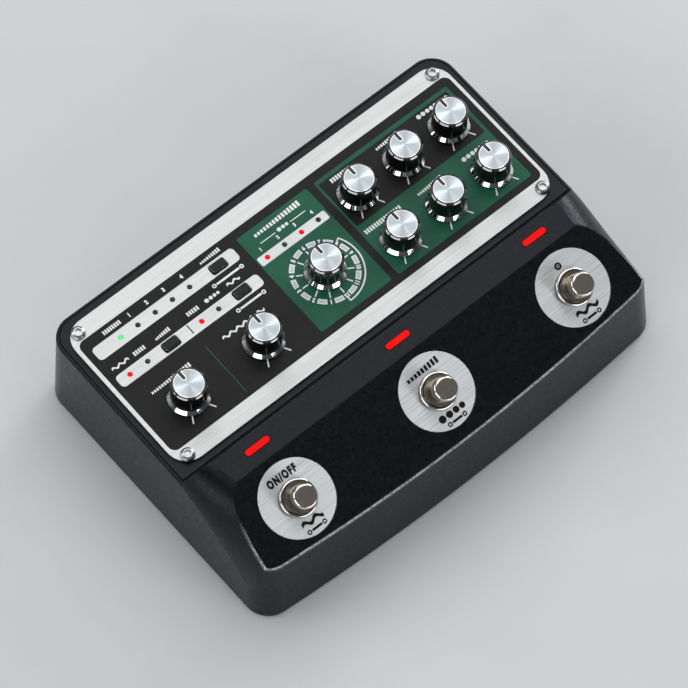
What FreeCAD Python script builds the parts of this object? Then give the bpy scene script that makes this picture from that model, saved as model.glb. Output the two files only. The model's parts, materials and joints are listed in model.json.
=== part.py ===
import FreeCAD, Part
import math
import os

os.makedirs("parts", exist_ok=True)
V = FreeCAD.Vector

# Driving sizes, in millimetres and degrees. X runs along the width, +Y to the
# socket side, +Z up. The floor is z = 0 and the part's box is centred on x and y.

# outside of the case
body_width = 192.0
floor_gap = 1.5
wall = 2.8
side_draft = 2.9
front_draft = 5.8
rear_draft = 2.1
front_bow = 4.4
corner_radius = 9.9
socket_reach = 1.6

# control panel: its middle in front of the socket ends and above the floor, its
# tilt, its depth and what is left beside it
panel_setback = 42.5
panel_z = 42.44
panel_tilt = 2.3
panel_side_gap = 3.726
panel_depth = 69.8
panel_radius = 8.7
panel_sheet = 1.2
deck_sheet = 2.0
deck_margin_front = 2.8
rim_width = 1.2
rim_gap = 0.35
shelf_sheet = 2.2
shelf_reach = 3.0

# ridge in front of the deck and the sloping tread
ridge_top = 48.5
ridge_width = 11.33
ridge_fall = 0.3
riser_lean = 27.0
tread_angle = 26.55
tread_run = 37.03
tread_drop = 7.96
tread_edge_round = 1.4
rim_round = 0.8

# rounded shoulders: distance in front of the deck, distance inside the foot of the
# side wall where the rounding starts, height at which it meets the wall
shoulder_rows = [
    (0.0, 16.0, 37.0),
    (9.5, 17.5, 33.5),
    (20.0, 19.6, 27.5),
    (30.5, 19.6, 20.5),
    (38.5, 19.7, 14.5),
    (60.0, 20.0, 6.0),
]
shoulder_fullness = 0.5523

# knobs, in the panel's own directions: the edge that they are measured from
# (-1 left, 1 right, 0 the middle), the distance from it, and the place up the panel
knob_places = {
    "saturation": (-1, 19.8, -14.1),
    "wow": (-1, 55.1, -14.0),
    "bass": (1, 59.5, 10.45),
    "treble": (1, 37.1, 10.45),
    "reverb": (1, 14.8, 10.45),
    "rate": (1, 59.5, -13.85),
    "intensity": (1, 37.1, -13.85),
    "echo": (1, 14.8, -13.85),
    "mode": (0, 0.3, -6.75),
}
knob_height = 12.0
knob_foot = 0.3
knob_top_radius = 6.65
knob_foot_radius = 6.95
cap_radius = 5.69
cap_thickness = 0.9
pointer_width = 1.2
pointer_inner = 2.2
skirt_radius = 8.0
skirt_height = 3.1
skirt_lip = 0.2
shaft_radius = 3.0
shaft_flat = 2.4
running_fit = 0.05

# pots, switches and lamps under the panel
pot_width = 9.8
pot_length = 11.6
pot_height = 6.8
selector_size = 13.0
bushing_radius = 3.5
bushing_nut_flats = 9.6
bushing_nut_height = 1.9
board_sheet = 1.6
lamp_radius = 0.82
lamp_hole_gap = 0.18
lamp_shoulder_radius = 1.5
lamp_places = {
    "led_green": [(-1, 16.0, 20.0)],
    "led_red": [(-1, 9.3, 6.4), (-1, 42.8, 6.4), (0, -12.1, 11.3), (0, 4.2, 11.3)],
    "led_unlit": [
        (-1, 24.0, 20.0), (-1, 32.1, 20.0), (-1, 40.2, 20.0), (-1, 48.3, 20.0),
        (-1, 17.5, 6.4), (-1, 50.8, 6.4), (0, -3.9, 11.3), (0, 12.3, 11.3),
    ],
}
key_places = {
    "button_memory": (-1, 61.8, 19.9),
    "button_input": (-1, 28.4, 6.4),
    "button_tape": (-1, 61.8, 6.5),
}
key_width = 6.8
key_depth = 3.7
key_radius = 0.9
key_proud = 1.5
moving_gap = 0.3

# footswitches and their round plates on the tread
footswitch_side_gap = 29.97
disc_radius = 14.73
disc_sheet = 0.8
plunger_radius = 4.65
plunger_height = 11.0
plunger_travel = 2.5
collar_radius = 7.3
collar_height = 2.6
neck_radius = 6.0
neck_height = 4.6
housing_width = 16.0
housing_length = 18.0
housing_depth = 20.0

# red lamp bars in the ridge
bar_length = 10.8
bar_width = 2.6
bar_gap = 0.25
bar_ahead = 9.83

# screws
panel_screw_side = 5.1
panel_screw_rear = 3.9
panel_screw_front = 3.5
panel_screw_radius = 1.5
panel_screw_head = 2.85
panel_screw_head_height = 1.7
panel_screw_length = 12.0
base_screw_radius = 1.5
base_screw_head = 2.8
base_screw_length = 11.0
column_radius = 4.5
tread_column_ahead = 4.6

# bottom
base_sheet = 1.5
base_lip = 1.3
base_clearance = 0.25
foot_radius = 8.0
foot_side_gap = 28.0
foot_end_gap = 20.5

# main board: room beside the screw columns, depth, and its screws from its edges and
# from the large sockets
main_board_top = 13.0
board_column_gap = 1.6
main_board_depth = 64.4
main_board_wall_gap = 0.4
main_board_screw_side = 9.0
main_board_screw_front = 7.0
main_board_screw_rear = 3.8

# on the main board: the side edge that a place is measured from (0 the middle), the
# distance across, how far ahead of the large sockets, and a chip's width, depth, height
middle_screw_places = [(0, -30.0, 16.8), (0, 40.0, 16.8)]
chips = [
    (0, -43.0, 15.8, 14.0, 14.0, 1.4), (0, -13.5, 3.8, 9.0, 6.0, 1.2), (1, 16.0, 19.8, 10.0, 10.0, 1.4),
    (0, 25.5, 7.3, 7.0, 7.0, 1.2), (0, -4.0, 15.8, 4.0, 2.0, 1.0), (1, 17.0, 8.8, 8.0, 5.0, 1.2),
]
capacitors = [(-1, 23.0, 30.8), (-1, 30.0, 30.8), (0, 30.0, 30.8), (0, 37.0, 30.8)]
header_x = 3.0
header_w = -18.0
header_length = 30.0
header_width = 5.0
header_height = 11.0
header_gap = 0.5
board_screw_radius = 1.25
board_screw_head = 2.4

# sockets in the rear wall: the first and last large ones, with the rest spread
# between them, and the small ones from the left side inwards
phone_count = 5
phone_side_gap = 26.0
phone_mini_pitch = 16.0
phone_z = 20.0
phone_bore = 3.25
phone_bushing = 4.6
phone_width = 16.0
phone_length = 24.0
phone_nut_flats = 12.6
phone_nut_height = 2.0
mini_pitch = 11.5
mini_z = 17.0
mini_bore = 1.8
mini_nozzle = 3.0
usb_mini_pitch = 10.3
usb_width = 7.8
usb_height = 2.9
inlet_side_gap = 21.8
inlet_usb_pitch = 10.4
inlet_z = 19.0
inlet_bore = 2.85
inlet_nozzle = 4.3
inlet_pin = 1.0

# Values that follow from the sizes above.
tilt = math.radians(panel_tilt)
slope = math.radians(tread_angle)
deck_half_w = panel_depth / 2 + deck_margin_front
deck_reach = deck_half_w * math.cos(tilt)
deck_front_z = panel_z - panel_sheet / math.cos(tilt) - deck_reach * math.tan(tilt)
riser_run = (ridge_top - deck_front_z) * math.tan(math.radians(riser_lean))
body_depth = panel_setback + deck_reach + riser_run + ridge_width + tread_run
front_y = -body_depth / 2
rear_y = body_depth / 2 - socket_reach
panel_y = body_depth / 2 - panel_setback
deck_front = panel_y - deck_reach
ridge_rear = deck_front - riser_run
bar_y = deck_front - bar_ahead
tread_y = ridge_rear - ridge_width - tread_drop / math.tan(slope)
tread_z = ridge_top - ridge_fall - tread_drop
tread_column_y = tread_y - tread_column_ahead
hull_top = ridge_top + 8.0
deck_bottom = -panel_sheet - deck_sheet
board_top = deck_bottom - pot_height
board_bottom = board_top - board_sheet
base_top = floor_gap + base_sheet
panel_width = body_width - 2 * math.tan(math.radians(side_draft)) * (panel_z - floor_gap) - 2 * panel_side_gap
panel_screw_x = panel_width / 2 - panel_screw_side
panel_screw_spots = [
    (side * panel_screw_x, w)
    for w in (panel_depth / 2 - panel_screw_rear, panel_screw_front - panel_depth / 2)
    for side in (-1, 1)
]
tread_spacing = body_width / 2 - footswitch_side_gap
foot_x = body_width / 2 - foot_side_gap
foot_y = body_depth / 2 - foot_end_gap
inlet_x = inlet_side_gap - body_width / 2
usb_x = inlet_x + inlet_usb_pitch
mini_x = [usb_x + usb_mini_pitch + mini_pitch, usb_x + usb_mini_pitch]
phone_last = mini_x[0] + phone_mini_pitch
phone_pitch = (body_width / 2 - phone_side_gap - phone_last) / (phone_count - 1)
phone_x = [body_width / 2 - phone_side_gap - i * phone_pitch for i in range(phone_count)]
spot_y = rear_y - math.tan(math.radians(rear_draft)) * (phone_z + 8.0 - floor_gap) - 0.2
socket_face = rear_y - math.tan(math.radians(rear_draft)) * (phone_z + 7.0 - floor_gap) - wall - 0.3
nozzle_end = rear_y - math.tan(math.radians(rear_draft)) * (mini_z - floor_gap) + 0.3
jack_front = socket_face - phone_length
main_board_half = panel_screw_x - column_radius - board_column_gap
main_board_rear = socket_face - main_board_wall_gap
main_board_front = main_board_rear - main_board_depth
PANEL = FreeCAD.Placement(V(0, panel_y, panel_z), FreeCAD.Rotation(V(1, 0, 0), panel_tilt))
TREAD = FreeCAD.Placement(V(0, tread_y, tread_z), FreeCAD.Rotation(V(1, 0, 0), tread_angle))


def on_panel(side, distance, w):
    """Place on the panel, measured from its left edge, its right edge or its middle."""
    return (side * (panel_width / 2 - distance) if side else distance, w)


def on_board(side, distance, ahead):
    """Place on the main board, measured from a side edge or the middle, and the sockets."""
    return (side * (main_board_half - distance) if side else distance, jack_front - ahead)


knob_spots = {name: on_panel(*place) for name, place in knob_places.items()}
key_spots = {name: on_panel(*place) for name, place in key_places.items()}
lamp_spots = {name: [on_panel(*place) for place in places] for name, places in lamp_places.items()}
main_board_screws = [
    (side * (main_board_half - main_board_screw_side), y)
    for y in (main_board_front + main_board_screw_front, jack_front - main_board_screw_rear)
    for side in (-1, 1)
] + [on_board(*place) for place in middle_screw_places]


def placed(shape, place):
    copy = shape.copy()
    copy.Placement = place.multiply(copy.Placement)
    return copy


def box(x0, x1, y0, y1, z0, z1):
    return Part.makeBox(x1 - x0, y1 - y0, z1 - z0, V(x0, y0, z0))


def post(radius, z0, z1, x=0.0, y=0.0):
    return Part.makeCylinder(radius, z1 - z0, V(x, y, z0))


def rod(radius, y0, y1, x, z):
    return Part.makeCylinder(radius, y1 - y0, V(x, y0, z), V(0, 1, 0))


def turned(points):
    """Solid turned about Z from (radius, height) points."""
    wire = Part.makePolygon([V(r, 0, z) for r, z in points + points[:1]])
    return Part.Face(wire).revolve(V(0, 0, 0), V(0, 0, 1), 360)


def prism_x(points, half):
    """Solid pushed along X from (y, z) points."""
    wire = Part.makePolygon([V(-half, y, z) for y, z in points + points[:1]])
    return Part.Face(wire).extrude(V(2 * half, 0, 0))


def hexagon(flats, z0, z1):
    r = flats / math.sqrt(3)
    ring = [V(r * math.cos(a), r * math.sin(a), z0) for a in (math.radians(60 * k) for k in range(7))]
    return Part.Face(Part.makePolygon(ring)).extrude(V(0, 0, z1 - z0))


def rounded_slab(width, depth, radius, z0, z1):
    slab = box(-width / 2, width / 2, -depth / 2, depth / 2, z0, z1)
    return slab.makeFillet(radius, upright_edges(slab))


def upright_edges(shape):
    """Edges that run from the lowest to the highest level of the shape."""
    low, high = shape.BoundBox.ZMin, shape.BoundBox.ZMax
    return [e for e in shape.Edges if e.BoundBox.ZMin < low + 0.01 and e.BoundBox.ZMax > high - 0.01
            and len(e.Vertexes) == 2]


def stadium(length, width, z0, z1):
    return rounded_slab(length, width, width / 2 - 0.001, z0, z1)


def moved(shape, x, y, z=0.0):
    copy = shape.copy()
    copy.translate(V(x, y, z))
    return copy


def joined(shapes):
    whole = shapes[0]
    return whole.fuse(shapes[1:]).removeSplitter() if len(shapes) > 1 else whole


def mirrored_pair(shape):
    return [shape, shape.mirror(V(0, 0, 0), V(1, 0, 0))]


def save(name, solids):
    whole = []
    for shape in solids:
        whole.extend(shape.Solids)
    out = whole[0] if len(whole) == 1 else Part.makeCompound(whole)
    out.exportStep("parts/" + name + ".step")
    print(name, len(whole), round(sum(s.Volume for s in whole), 1), [s.isValid() for s in whole].count(False))


def side_x(z):
    """Half width of the case at one height."""
    return body_width / 2 - math.tan(math.radians(side_draft)) * (z - floor_gap)


def outline(inset, z):
    """Plan of the case at one height: bowed front, straight sides and rear."""
    half = side_x(z) - inset
    rear = rear_y - math.tan(math.radians(rear_draft)) * (z - floor_gap) - inset
    front = front_y + math.tan(math.radians(front_draft)) * (z - floor_gap) + inset
    left = V(-half, front + front_bow, z)
    right = V(half, front + front_bow, z)
    back = [V(half, rear, z), V(-half, rear, z)]
    edges = [
        Part.Arc(left, V(0, front, z), right).toShape(),
        Part.makeLine(right, back[0]),
        Part.makeLine(back[0], back[1]),
        Part.makeLine(back[1], left),
    ]
    return Part.Wire(edges)


def hull(inset):
    """Drafted block with rounded upright corners."""
    block = Part.makeLoft([outline(inset, floor_gap), outline(inset, hull_top)], True, True)
    return block.makeFillet(corner_radius - inset, upright_edges(block))


def panel_level(y, height):
    """Height of a plane that lies parallel to the panel."""
    return panel_z + height / math.cos(tilt) + (y - panel_y) * math.tan(tilt)


def tread_level(y, depth):
    return tread_z - depth / math.cos(slope) + (y - tread_y) * math.tan(slope)


def tread_reach(z, depth):
    """Where the tread plane, lowered by a depth, reaches one height."""
    return tread_y + (z - tread_z + depth / math.cos(slope)) / math.tan(slope)


def shoulder_tool(inset):
    """What is cut away at the right end so that the ridge rolls over into the wall."""
    wires = []
    for ahead, margin, meet in shoulder_rows:
        y = deck_front - ahead
        flat = body_width / 2 - margin
        top = ridge_top + 0.15
        edge = side_x(meet) + 0.1
        lean = math.tan(math.radians(side_draft))
        points = [
            V(flat, y, top),
            V(flat + shoulder_fullness * (edge - flat), y, top),
            V(edge - lean * shoulder_fullness * (top - meet), y, meet + shoulder_fullness * (top - meet)),
            V(edge, y, meet),
        ]
        curve = Part.BezierCurve()
        curve.setPoles(points)
        out = side_x(floor_gap) + 12.0
        roof = hull_top + 2.0
        corners = [points[3], V(out, y, meet), V(out, y, roof), V(flat, y, roof), points[0]]
        lines = [Part.makeLine(a, b) for a, b in zip(corners, corners[1:])]
        wires.append(Part.Wire([curve.toShape()] + lines))
    return moved(Part.makeLoft(wires, True, False), -inset, 0, -inset)


def tread_face(shape):
    """The sloping tread, found by the way it faces."""
    up = TREAD.Rotation.multVec(V(0, 0, 1))
    flat = [f for f in shape.Faces if isinstance(f.Surface, Part.Plane) and f.normalAt(0, 0).dot(up) > 0.9999]
    return max(flat, key=lambda f: f.Area)


def deck_face(shape):
    up = PANEL.Rotation.multVec(V(0, 0, 1))
    flat = [f for f in shape.Faces if isinstance(f.Surface, Part.Plane) and f.normalAt(0, 0).dot(up) > 0.9999]
    return max(flat, key=lambda f: f.Area)


def case_block():
    """The case before it is hollowed."""
    tail = body_depth
    ledge_front = tread_reach(ridge_top - ridge_fall, 0)
    points = [
        (-tail, 0.0),
        (-tail, tread_level(-tail, 0)),
        (ledge_front, ridge_top - ridge_fall),
        (ridge_rear, ridge_top),
        (deck_front, deck_front_z),
        (tail, panel_level(tail, -panel_sheet)),
        (tail, 0.0),
    ]
    block = hull(0.0).common(prism_x(points, body_width))
    rim = [e for e in deck_face(block).OuterWire.Edges if e.BoundBox.YMax > deck_front + 1.0]
    block = block.makeFillet(rim_round, rim)
    block = block.cut(mirrored_pair(shoulder_tool(0.0)))
    return block.makeFillet(tread_edge_round, tread_face(block).OuterWire.Edges)


def cavity():
    """The hollow of the case, open at the bottom and under the deck."""
    tail = body_depth
    lean = math.tan(math.radians(riser_lean))
    riser_shift = wall / math.cos(math.radians(riser_lean))
    roof = ridge_top - ridge_fall - wall
    shelf = panel_level(deck_front, deck_bottom) - shelf_sheet

    def riser_inside(z):
        return deck_front - riser_shift - (z - deck_front_z) * lean

    points = [
        (-tail, -tail),
        (-tail, tread_level(-tail, wall)),
        (tread_reach(roof, wall), roof),
        (riser_inside(roof), roof),
        (riser_inside(shelf), shelf),
        (deck_front + shelf_reach, shelf),
        (deck_front + shelf_reach, hull_top),
        (tail, hull_top),
        (tail, -tail),
    ]
    room = hull(wall).common(prism_x(points, body_width))
    return room.cut(mirrored_pair(shoulder_tool(wall * 0.95)))


def deck_plan(gap, h0, h1):
    """Deck outline in panel directions: square front corners, round rear ones."""
    half = side_x(panel_z) - rim_width - gap
    rear = (rear_y - math.tan(math.radians(rear_draft)) * (panel_z - floor_gap) - rim_width - panel_y) / math.cos(tilt)
    slab = box(-half, half, -deck_half_w + gap, rear - gap, h0, h1)
    corners = [e for e in upright_edges(slab) if e.BoundBox.YMin > 0]
    return slab.makeFillet(corner_radius - rim_width - gap, corners)


def spots(shape, places):
    return [moved(shape, x, y) for x, y in places]


def base_screw_spots():
    rows = [(x, panel_y + w * math.cos(tilt) - math.sin(tilt) * deck_bottom) for x, w in panel_screw_spots]
    return rows + [(panel_screw_spots[0][0], tread_column_y), (panel_screw_spots[1][0], tread_column_y)]


def columns(block):
    """Screw columns of the case with a web to the side wall."""
    shapes = []
    for x, y in base_screw_spots():
        shapes.append(post(column_radius, base_top, hull_top, x, y))
        side = math.copysign(1.0, x)
        reach = sorted([x, side * body_width / 2])
        shapes.append(box(reach[0], reach[1], y - 1.5, y + 1.5, base_top, hull_top))
    return [block.common(s) for s in shapes]


def panel_holes():
    """Everything that passes through the panel and the deck, with room round it."""
    tools = spots(post(bushing_radius + 0.15, deck_bottom - 1, 1.0), knob_spots.values())
    for places in lamp_spots.values():
        tools += spots(post(lamp_radius + lamp_hole_gap, deck_bottom - 1, 1.0), places)
    slot = rounded_slab(key_width + 2 * moving_gap, key_depth + 2 * moving_gap, key_radius + moving_gap,
                        deck_bottom - 1, 1.0)
    tools += spots(slot, key_spots.values())
    tools += spots(post(panel_screw_radius + 0.1, deck_bottom - 1, 1.0), panel_screw_spots)
    return tools


def along_y(x, y, z):
    return FreeCAD.Placement(V(x, y, z), FreeCAD.Rotation(V(1, 0, 0), -90))


def make_case():
    """The hollow case with its recesses, holes and screw columns."""
    block = case_block()
    case = block.cut(cavity()).fuse(columns(block))
    recess = placed(deck_plan(0.0, deck_bottom, hull_top), PANEL)
    floor = hull(base_lip).common(box(-body_width, body_width, -body_depth, body_depth, 0, base_top))
    tools = [recess, floor]
    tools += [placed(post(panel_screw_radius + 0.03, deck_bottom - panel_screw_length, 0, x, w), PANEL)
              for x, w in panel_screw_spots]
    tools += [post(base_screw_radius + 0.03, 0, floor_gap + base_screw_length + 1.0, x, y)
              for x, y in base_screw_spots()]
    for x in (-tread_spacing, 0.0, tread_spacing):
        tools.append(placed(post(disc_radius + moving_gap, -disc_sheet, 6.0, x), TREAD))
        tools.append(placed(post(neck_radius + 0.25, -2 * wall, 6.0, x), TREAD))
        bar = stadium(bar_length + 2 * bar_gap, bar_width + 2 * bar_gap, ridge_top - 2 * wall, ridge_top + 2)
        tools.append(moved(bar, x, bar_y))
    far = body_depth
    for x in phone_x:
        tools.append(rod(phone_bushing + 0.25, 0.0, far, x, phone_z))
        tools.append(rod(8.0, spot_y, far, x, phone_z))
    for x in mini_x:
        tools.append(rod(mini_nozzle + 0.25, 0.0, far, x, mini_z))
    tools.append(rod(inlet_nozzle + 0.25, 0.0, far, inlet_x, inlet_z))
    tools.append(box(usb_x - usb_width / 2 - 0.4, usb_x + usb_width / 2 + 0.4, 0.0, far,
                     main_board_top - 0.4, main_board_top + usb_height + 0.4))
    return case.cut(tools)


def board_pins(places, radius, z0, z1):
    return [post(radius, z0, z1, x, y) for x, y in places]


def make_pot(width, length, pin_rows):
    """Pot or selector: body, threaded bushing with its bore, and solder pins."""
    body = box(-width / 2, width / 2, -length / 2, length / 2, board_top, deck_bottom)
    bushing = post(bushing_radius, deck_bottom, bushing_nut_height)
    pins = board_pins(pin_rows, 0.45, board_bottom - 1.0, board_top)
    return joined([body, bushing] + pins).cut(post(shaft_radius + running_fit, board_top + 0.7, 5.0))


def make_knob(name, spot):
    """Knob body, its metal cap and skirt, and the shaft that carries it."""
    cap_level = knob_height - cap_thickness
    body = turned([
        (0.0, knob_foot), (knob_foot_radius, knob_foot), (knob_foot_radius, knob_foot + skirt_height),
        (knob_top_radius, knob_height - 0.8), (knob_top_radius - 0.4, knob_height - 0.2),
        (0.0, knob_height - 0.2),
    ])
    hollow = post(bushing_nut_flats / math.sqrt(3) + 0.6, 0.0, bushing_nut_height + 1.4)
    bore = post(shaft_radius + running_fit, 0.0, cap_level - 0.8)
    flat = box(-5, 5, -5, -shaft_flat - running_fit, bushing_nut_height + 2.4, knob_height)
    slot = box(-pointer_width / 2 - 0.1, pointer_width / 2 + 0.1, pointer_inner - 0.1, knob_foot_radius,
               0.0, knob_height + 1.0)
    disc = post(cap_radius + 0.05, cap_level, knob_height + 1.0)
    body = body.cut([hollow, bore.cut(flat), disc.cut(slot)])
    cap = turned([
        (0.0, cap_level), (cap_radius, cap_level), (cap_radius, knob_height - 0.35),
        (cap_radius - 0.35, knob_height), (0.0, knob_height),
    ])
    cut_slot = box(-pointer_width / 2 - 0.2, pointer_width / 2 + 0.2, pointer_inner - 0.2, knob_foot_radius,
                   0.0, knob_height + 1.0)
    inner = knob_foot_radius + running_fit
    skirt = turned([
        (inner, knob_foot), (skirt_radius, knob_foot), (skirt_radius, knob_foot + 0.4),
        (inner + skirt_lip, knob_foot + skirt_height), (inner, knob_foot + skirt_height),
    ])
    shaft = post(shaft_radius, board_top + 1.5, cap_level - 1.0)
    shaft = shaft.cut(box(-5, 5, -5, -shaft_flat, bushing_nut_height + 2.4, knob_height))
    place = PANEL.multiply(FreeCAD.Placement(V(spot[0], spot[1], 0), FreeCAD.Rotation()))
    save("knob_" + name, [placed(body, place)])
    save("knob_trim_" + name, [placed(cap.cut(cut_slot), place), placed(skirt, place)])
    save("shaft_" + name, [placed(shaft, place)])


def make_key():
    """Small push button: cap, retaining flange and stem, in one moulding."""
    cap = rounded_slab(key_width, key_depth, key_radius, deck_bottom - moving_gap, key_proud)
    cap = cap.makeFillet(0.5, cap.Faces[[f.CenterOfMass.z for f in cap.Faces].index(
        max(f.CenterOfMass.z for f in cap.Faces))].OuterWire.Edges)
    low = deck_bottom - moving_gap - 1.0
    flange = rounded_slab(key_width + 1.6, key_depth + 1.6, key_radius, low, low + 1.0)
    stem = post(1.5, board_top + 2.1, low)
    return joined([cap, flange, stem])


def make_footswitch():
    """Footswitch body with its threaded neck and solder lugs, and the plunger."""
    top = -wall - moving_gap
    low = top - housing_depth
    body = box(-housing_width / 2, housing_width / 2, -housing_length / 2, housing_length / 2, low, top)
    neck = post(neck_radius, top, neck_height)
    lugs = [box(x - 1.0, x + 1.0, -0.4, 0.4, low - 3.0, low) for x in (-5.0, 0.0, 5.0)]
    body = joined([body, neck] + lugs)
    stop = low + 5.0
    body = body.cut(post(plunger_radius + running_fit, stop, neck_height + 1.0))
    plunger = turned([
        (0.0, stop + plunger_travel + 1.0), (plunger_radius, stop + plunger_travel + 1.0),
        (plunger_radius, plunger_height - 0.55), (plunger_radius - 0.55, plunger_height), (0.0, plunger_height),
    ])
    collar = turned([
        (neck_radius + running_fit, 0.0), (collar_radius, 0.0), (collar_radius, collar_height - 0.5),
        (collar_radius - 0.5, collar_height), (neck_radius + running_fit, collar_height),
    ])
    plate = post(disc_radius, -disc_sheet, 0.0).cut(post(neck_radius + 0.2, -2.0, 1.0))
    return body, plunger, collar, plate


def make_screw(head_radius, head_height, radius, length, socket):
    """Domed screw that stands on z = 0, with a hexagonal socket."""
    head = turned([
        (0.0, 0.0), (head_radius, 0.0), (head_radius, head_height * 0.3),
        (head_radius * 0.86, head_height * 0.75), (head_radius * 0.6, head_height), (0.0, head_height),
    ])
    shank = post(radius, -length, 0.0)
    return joined([head, shank]).cut(hexagon(socket, head_height - 0.9, head_height + 1.0))


def make_flat_screw():
    """Countersunk screw whose face lies in z = 0 and whose shank points up."""
    depth = base_screw_head - base_screw_radius
    cone = turned([(0.0, 0.0), (base_screw_head, 0.0), (base_screw_radius, depth), (0.0, depth)])
    return joined([cone, post(base_screw_radius, depth, base_screw_length)]).cut(hexagon(2.0, -1.0, 0.8))


def make_base():
    span = box(-body_width, body_width, -body_depth, body_depth, floor_gap, base_top)
    plate = hull(base_lip + base_clearance).common(span)
    pads = [post(3.5, base_top, main_board_top - board_sheet, x, y) for x, y in main_board_screws]
    plate = joined([plate] + pads)
    depth = base_screw_head - base_screw_radius
    cone = turned([(0.0, -0.1), (base_screw_head + 0.15, -0.1), (base_screw_head + 0.05, 0.0),
                   (base_screw_radius + 0.05, depth), (base_screw_radius + 0.05, base_sheet + 1),
                   (0.0, base_sheet + 1)])
    holes = [moved(cone, x, y, floor_gap) for x, y in base_screw_spots()]
    holes += [post(board_screw_radius + 0.03, main_board_top - 9.0, main_board_top, x, y)
              for x, y in main_board_screws]
    return plate.cut(holes)


# solder pins: distance across from the socket's middle and behind the socket face
PHONE_PINS = [(-5.0, 16.0), (5.0, 16.0), (0.0, 22.0)]
MINI_PINS = [(-4.0, 11.0), (4.0, 11.0), (0.0, 6.0)]


def pin_spots(x, pins):
    return [(x + across, socket_face - behind) for across, behind in pins]


def rear_pins():
    places = [spot for x in phone_x for spot in pin_spots(x, PHONE_PINS)]
    return places + [spot for x in mini_x + [inlet_x] for spot in pin_spots(x, MINI_PINS)]


def make_phone(x):
    low = main_board_top
    body = box(x - phone_width / 2, x + phone_width / 2, socket_face - phone_length, socket_face,
               low, 2 * phone_z - low)
    bushing = rod(phone_bushing, socket_face, body_depth / 2, x, phone_z)
    pins = board_pins(pin_spots(x, PHONE_PINS), 0.6, low - board_sheet - 1.2, low)
    bore = rod(phone_bore, socket_face - phone_length + 1.2, body_depth, x, phone_z)
    return joined([body, bushing] + pins).cut(bore)


def make_mini(x):
    low = main_board_top
    body = box(x - 5.5, x + 5.5, socket_face - 13.5, socket_face, low, 2 * mini_z - low - 1.0)
    nozzle = rod(mini_nozzle, socket_face, nozzle_end, x, mini_z)
    pins = board_pins(pin_spots(x, MINI_PINS), 0.6, low - board_sheet - 1.2, low)
    return joined([body, nozzle] + pins).cut(rod(mini_bore, socket_face - 12.0, body_depth, x, mini_z))


def make_inlet():
    low = main_board_top
    body = box(inlet_x - 5.2, inlet_x + 5.2, socket_face - 13.5, socket_face, low, 2 * inlet_z - low)
    nozzle = rod(inlet_nozzle, socket_face, nozzle_end, inlet_x, inlet_z)
    pins = board_pins(pin_spots(inlet_x, MINI_PINS), 0.6, low - board_sheet - 1.2, low)
    hollow = joined([body, nozzle] + pins).cut(rod(inlet_bore, socket_face - 9.0, body_depth, inlet_x, inlet_z))
    return hollow.fuse(rod(inlet_pin, socket_face - 9.5, nozzle_end - 0.8, inlet_x, inlet_z))


def make_usb():
    low = main_board_top
    half = usb_width / 2
    shell = box(usb_x - half, usb_x + half, socket_face - 3.0, nozzle_end - 0.4, low, low + usb_height)
    room = box(usb_x - half + 0.4, usb_x + half - 0.4, socket_face - 2.4, body_depth, low + 0.4, low + usb_height - 0.4)
    tongue = box(usb_x - half + 1.4, usb_x + half - 1.4, socket_face - 2.6, nozzle_end - 1.4,
                 low + usb_height / 2 - 0.3, low + usb_height / 2 + 0.3)
    return shell.cut(room).fuse(tongue)


def pot_pins(width, length):
    return [(-width / 4, -length / 2 + 1.2), (0.0, -length / 2 + 1.2), (width / 4, -length / 2 + 1.2)]


def selector_pins(size):
    return [(dx, side * (size / 2 - 1.2)) for side in (-1, 1) for dx in (-4.0, 0.0, 4.0)]


def make_panel_board():
    """Board under the deck, narrower at its corners to clear the screw columns."""
    inner = abs(panel_screw_spots[0][0]) - column_radius - 1.3
    outer = side_x(panel_z) - wall - 6.0
    cross = abs(panel_screw_spots[0][1]) - column_radius - 1.5
    deep = panel_depth / 2 - 2.0
    plate = joined([
        box(-inner, inner, -deep, deep, board_bottom, board_top),
        box(-outer, outer, -cross, cross, board_bottom, board_top),
    ])
    places = []
    for name, (x, w) in knob_spots.items():
        rows = selector_pins(selector_size) if name == "mode" else pot_pins(pot_width, pot_length)
        places += [(x + dx, w + dw) for dx, dw in rows]
    return plate.cut(board_pins(places, 0.75, board_bottom - 1, board_top + 1))


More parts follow.
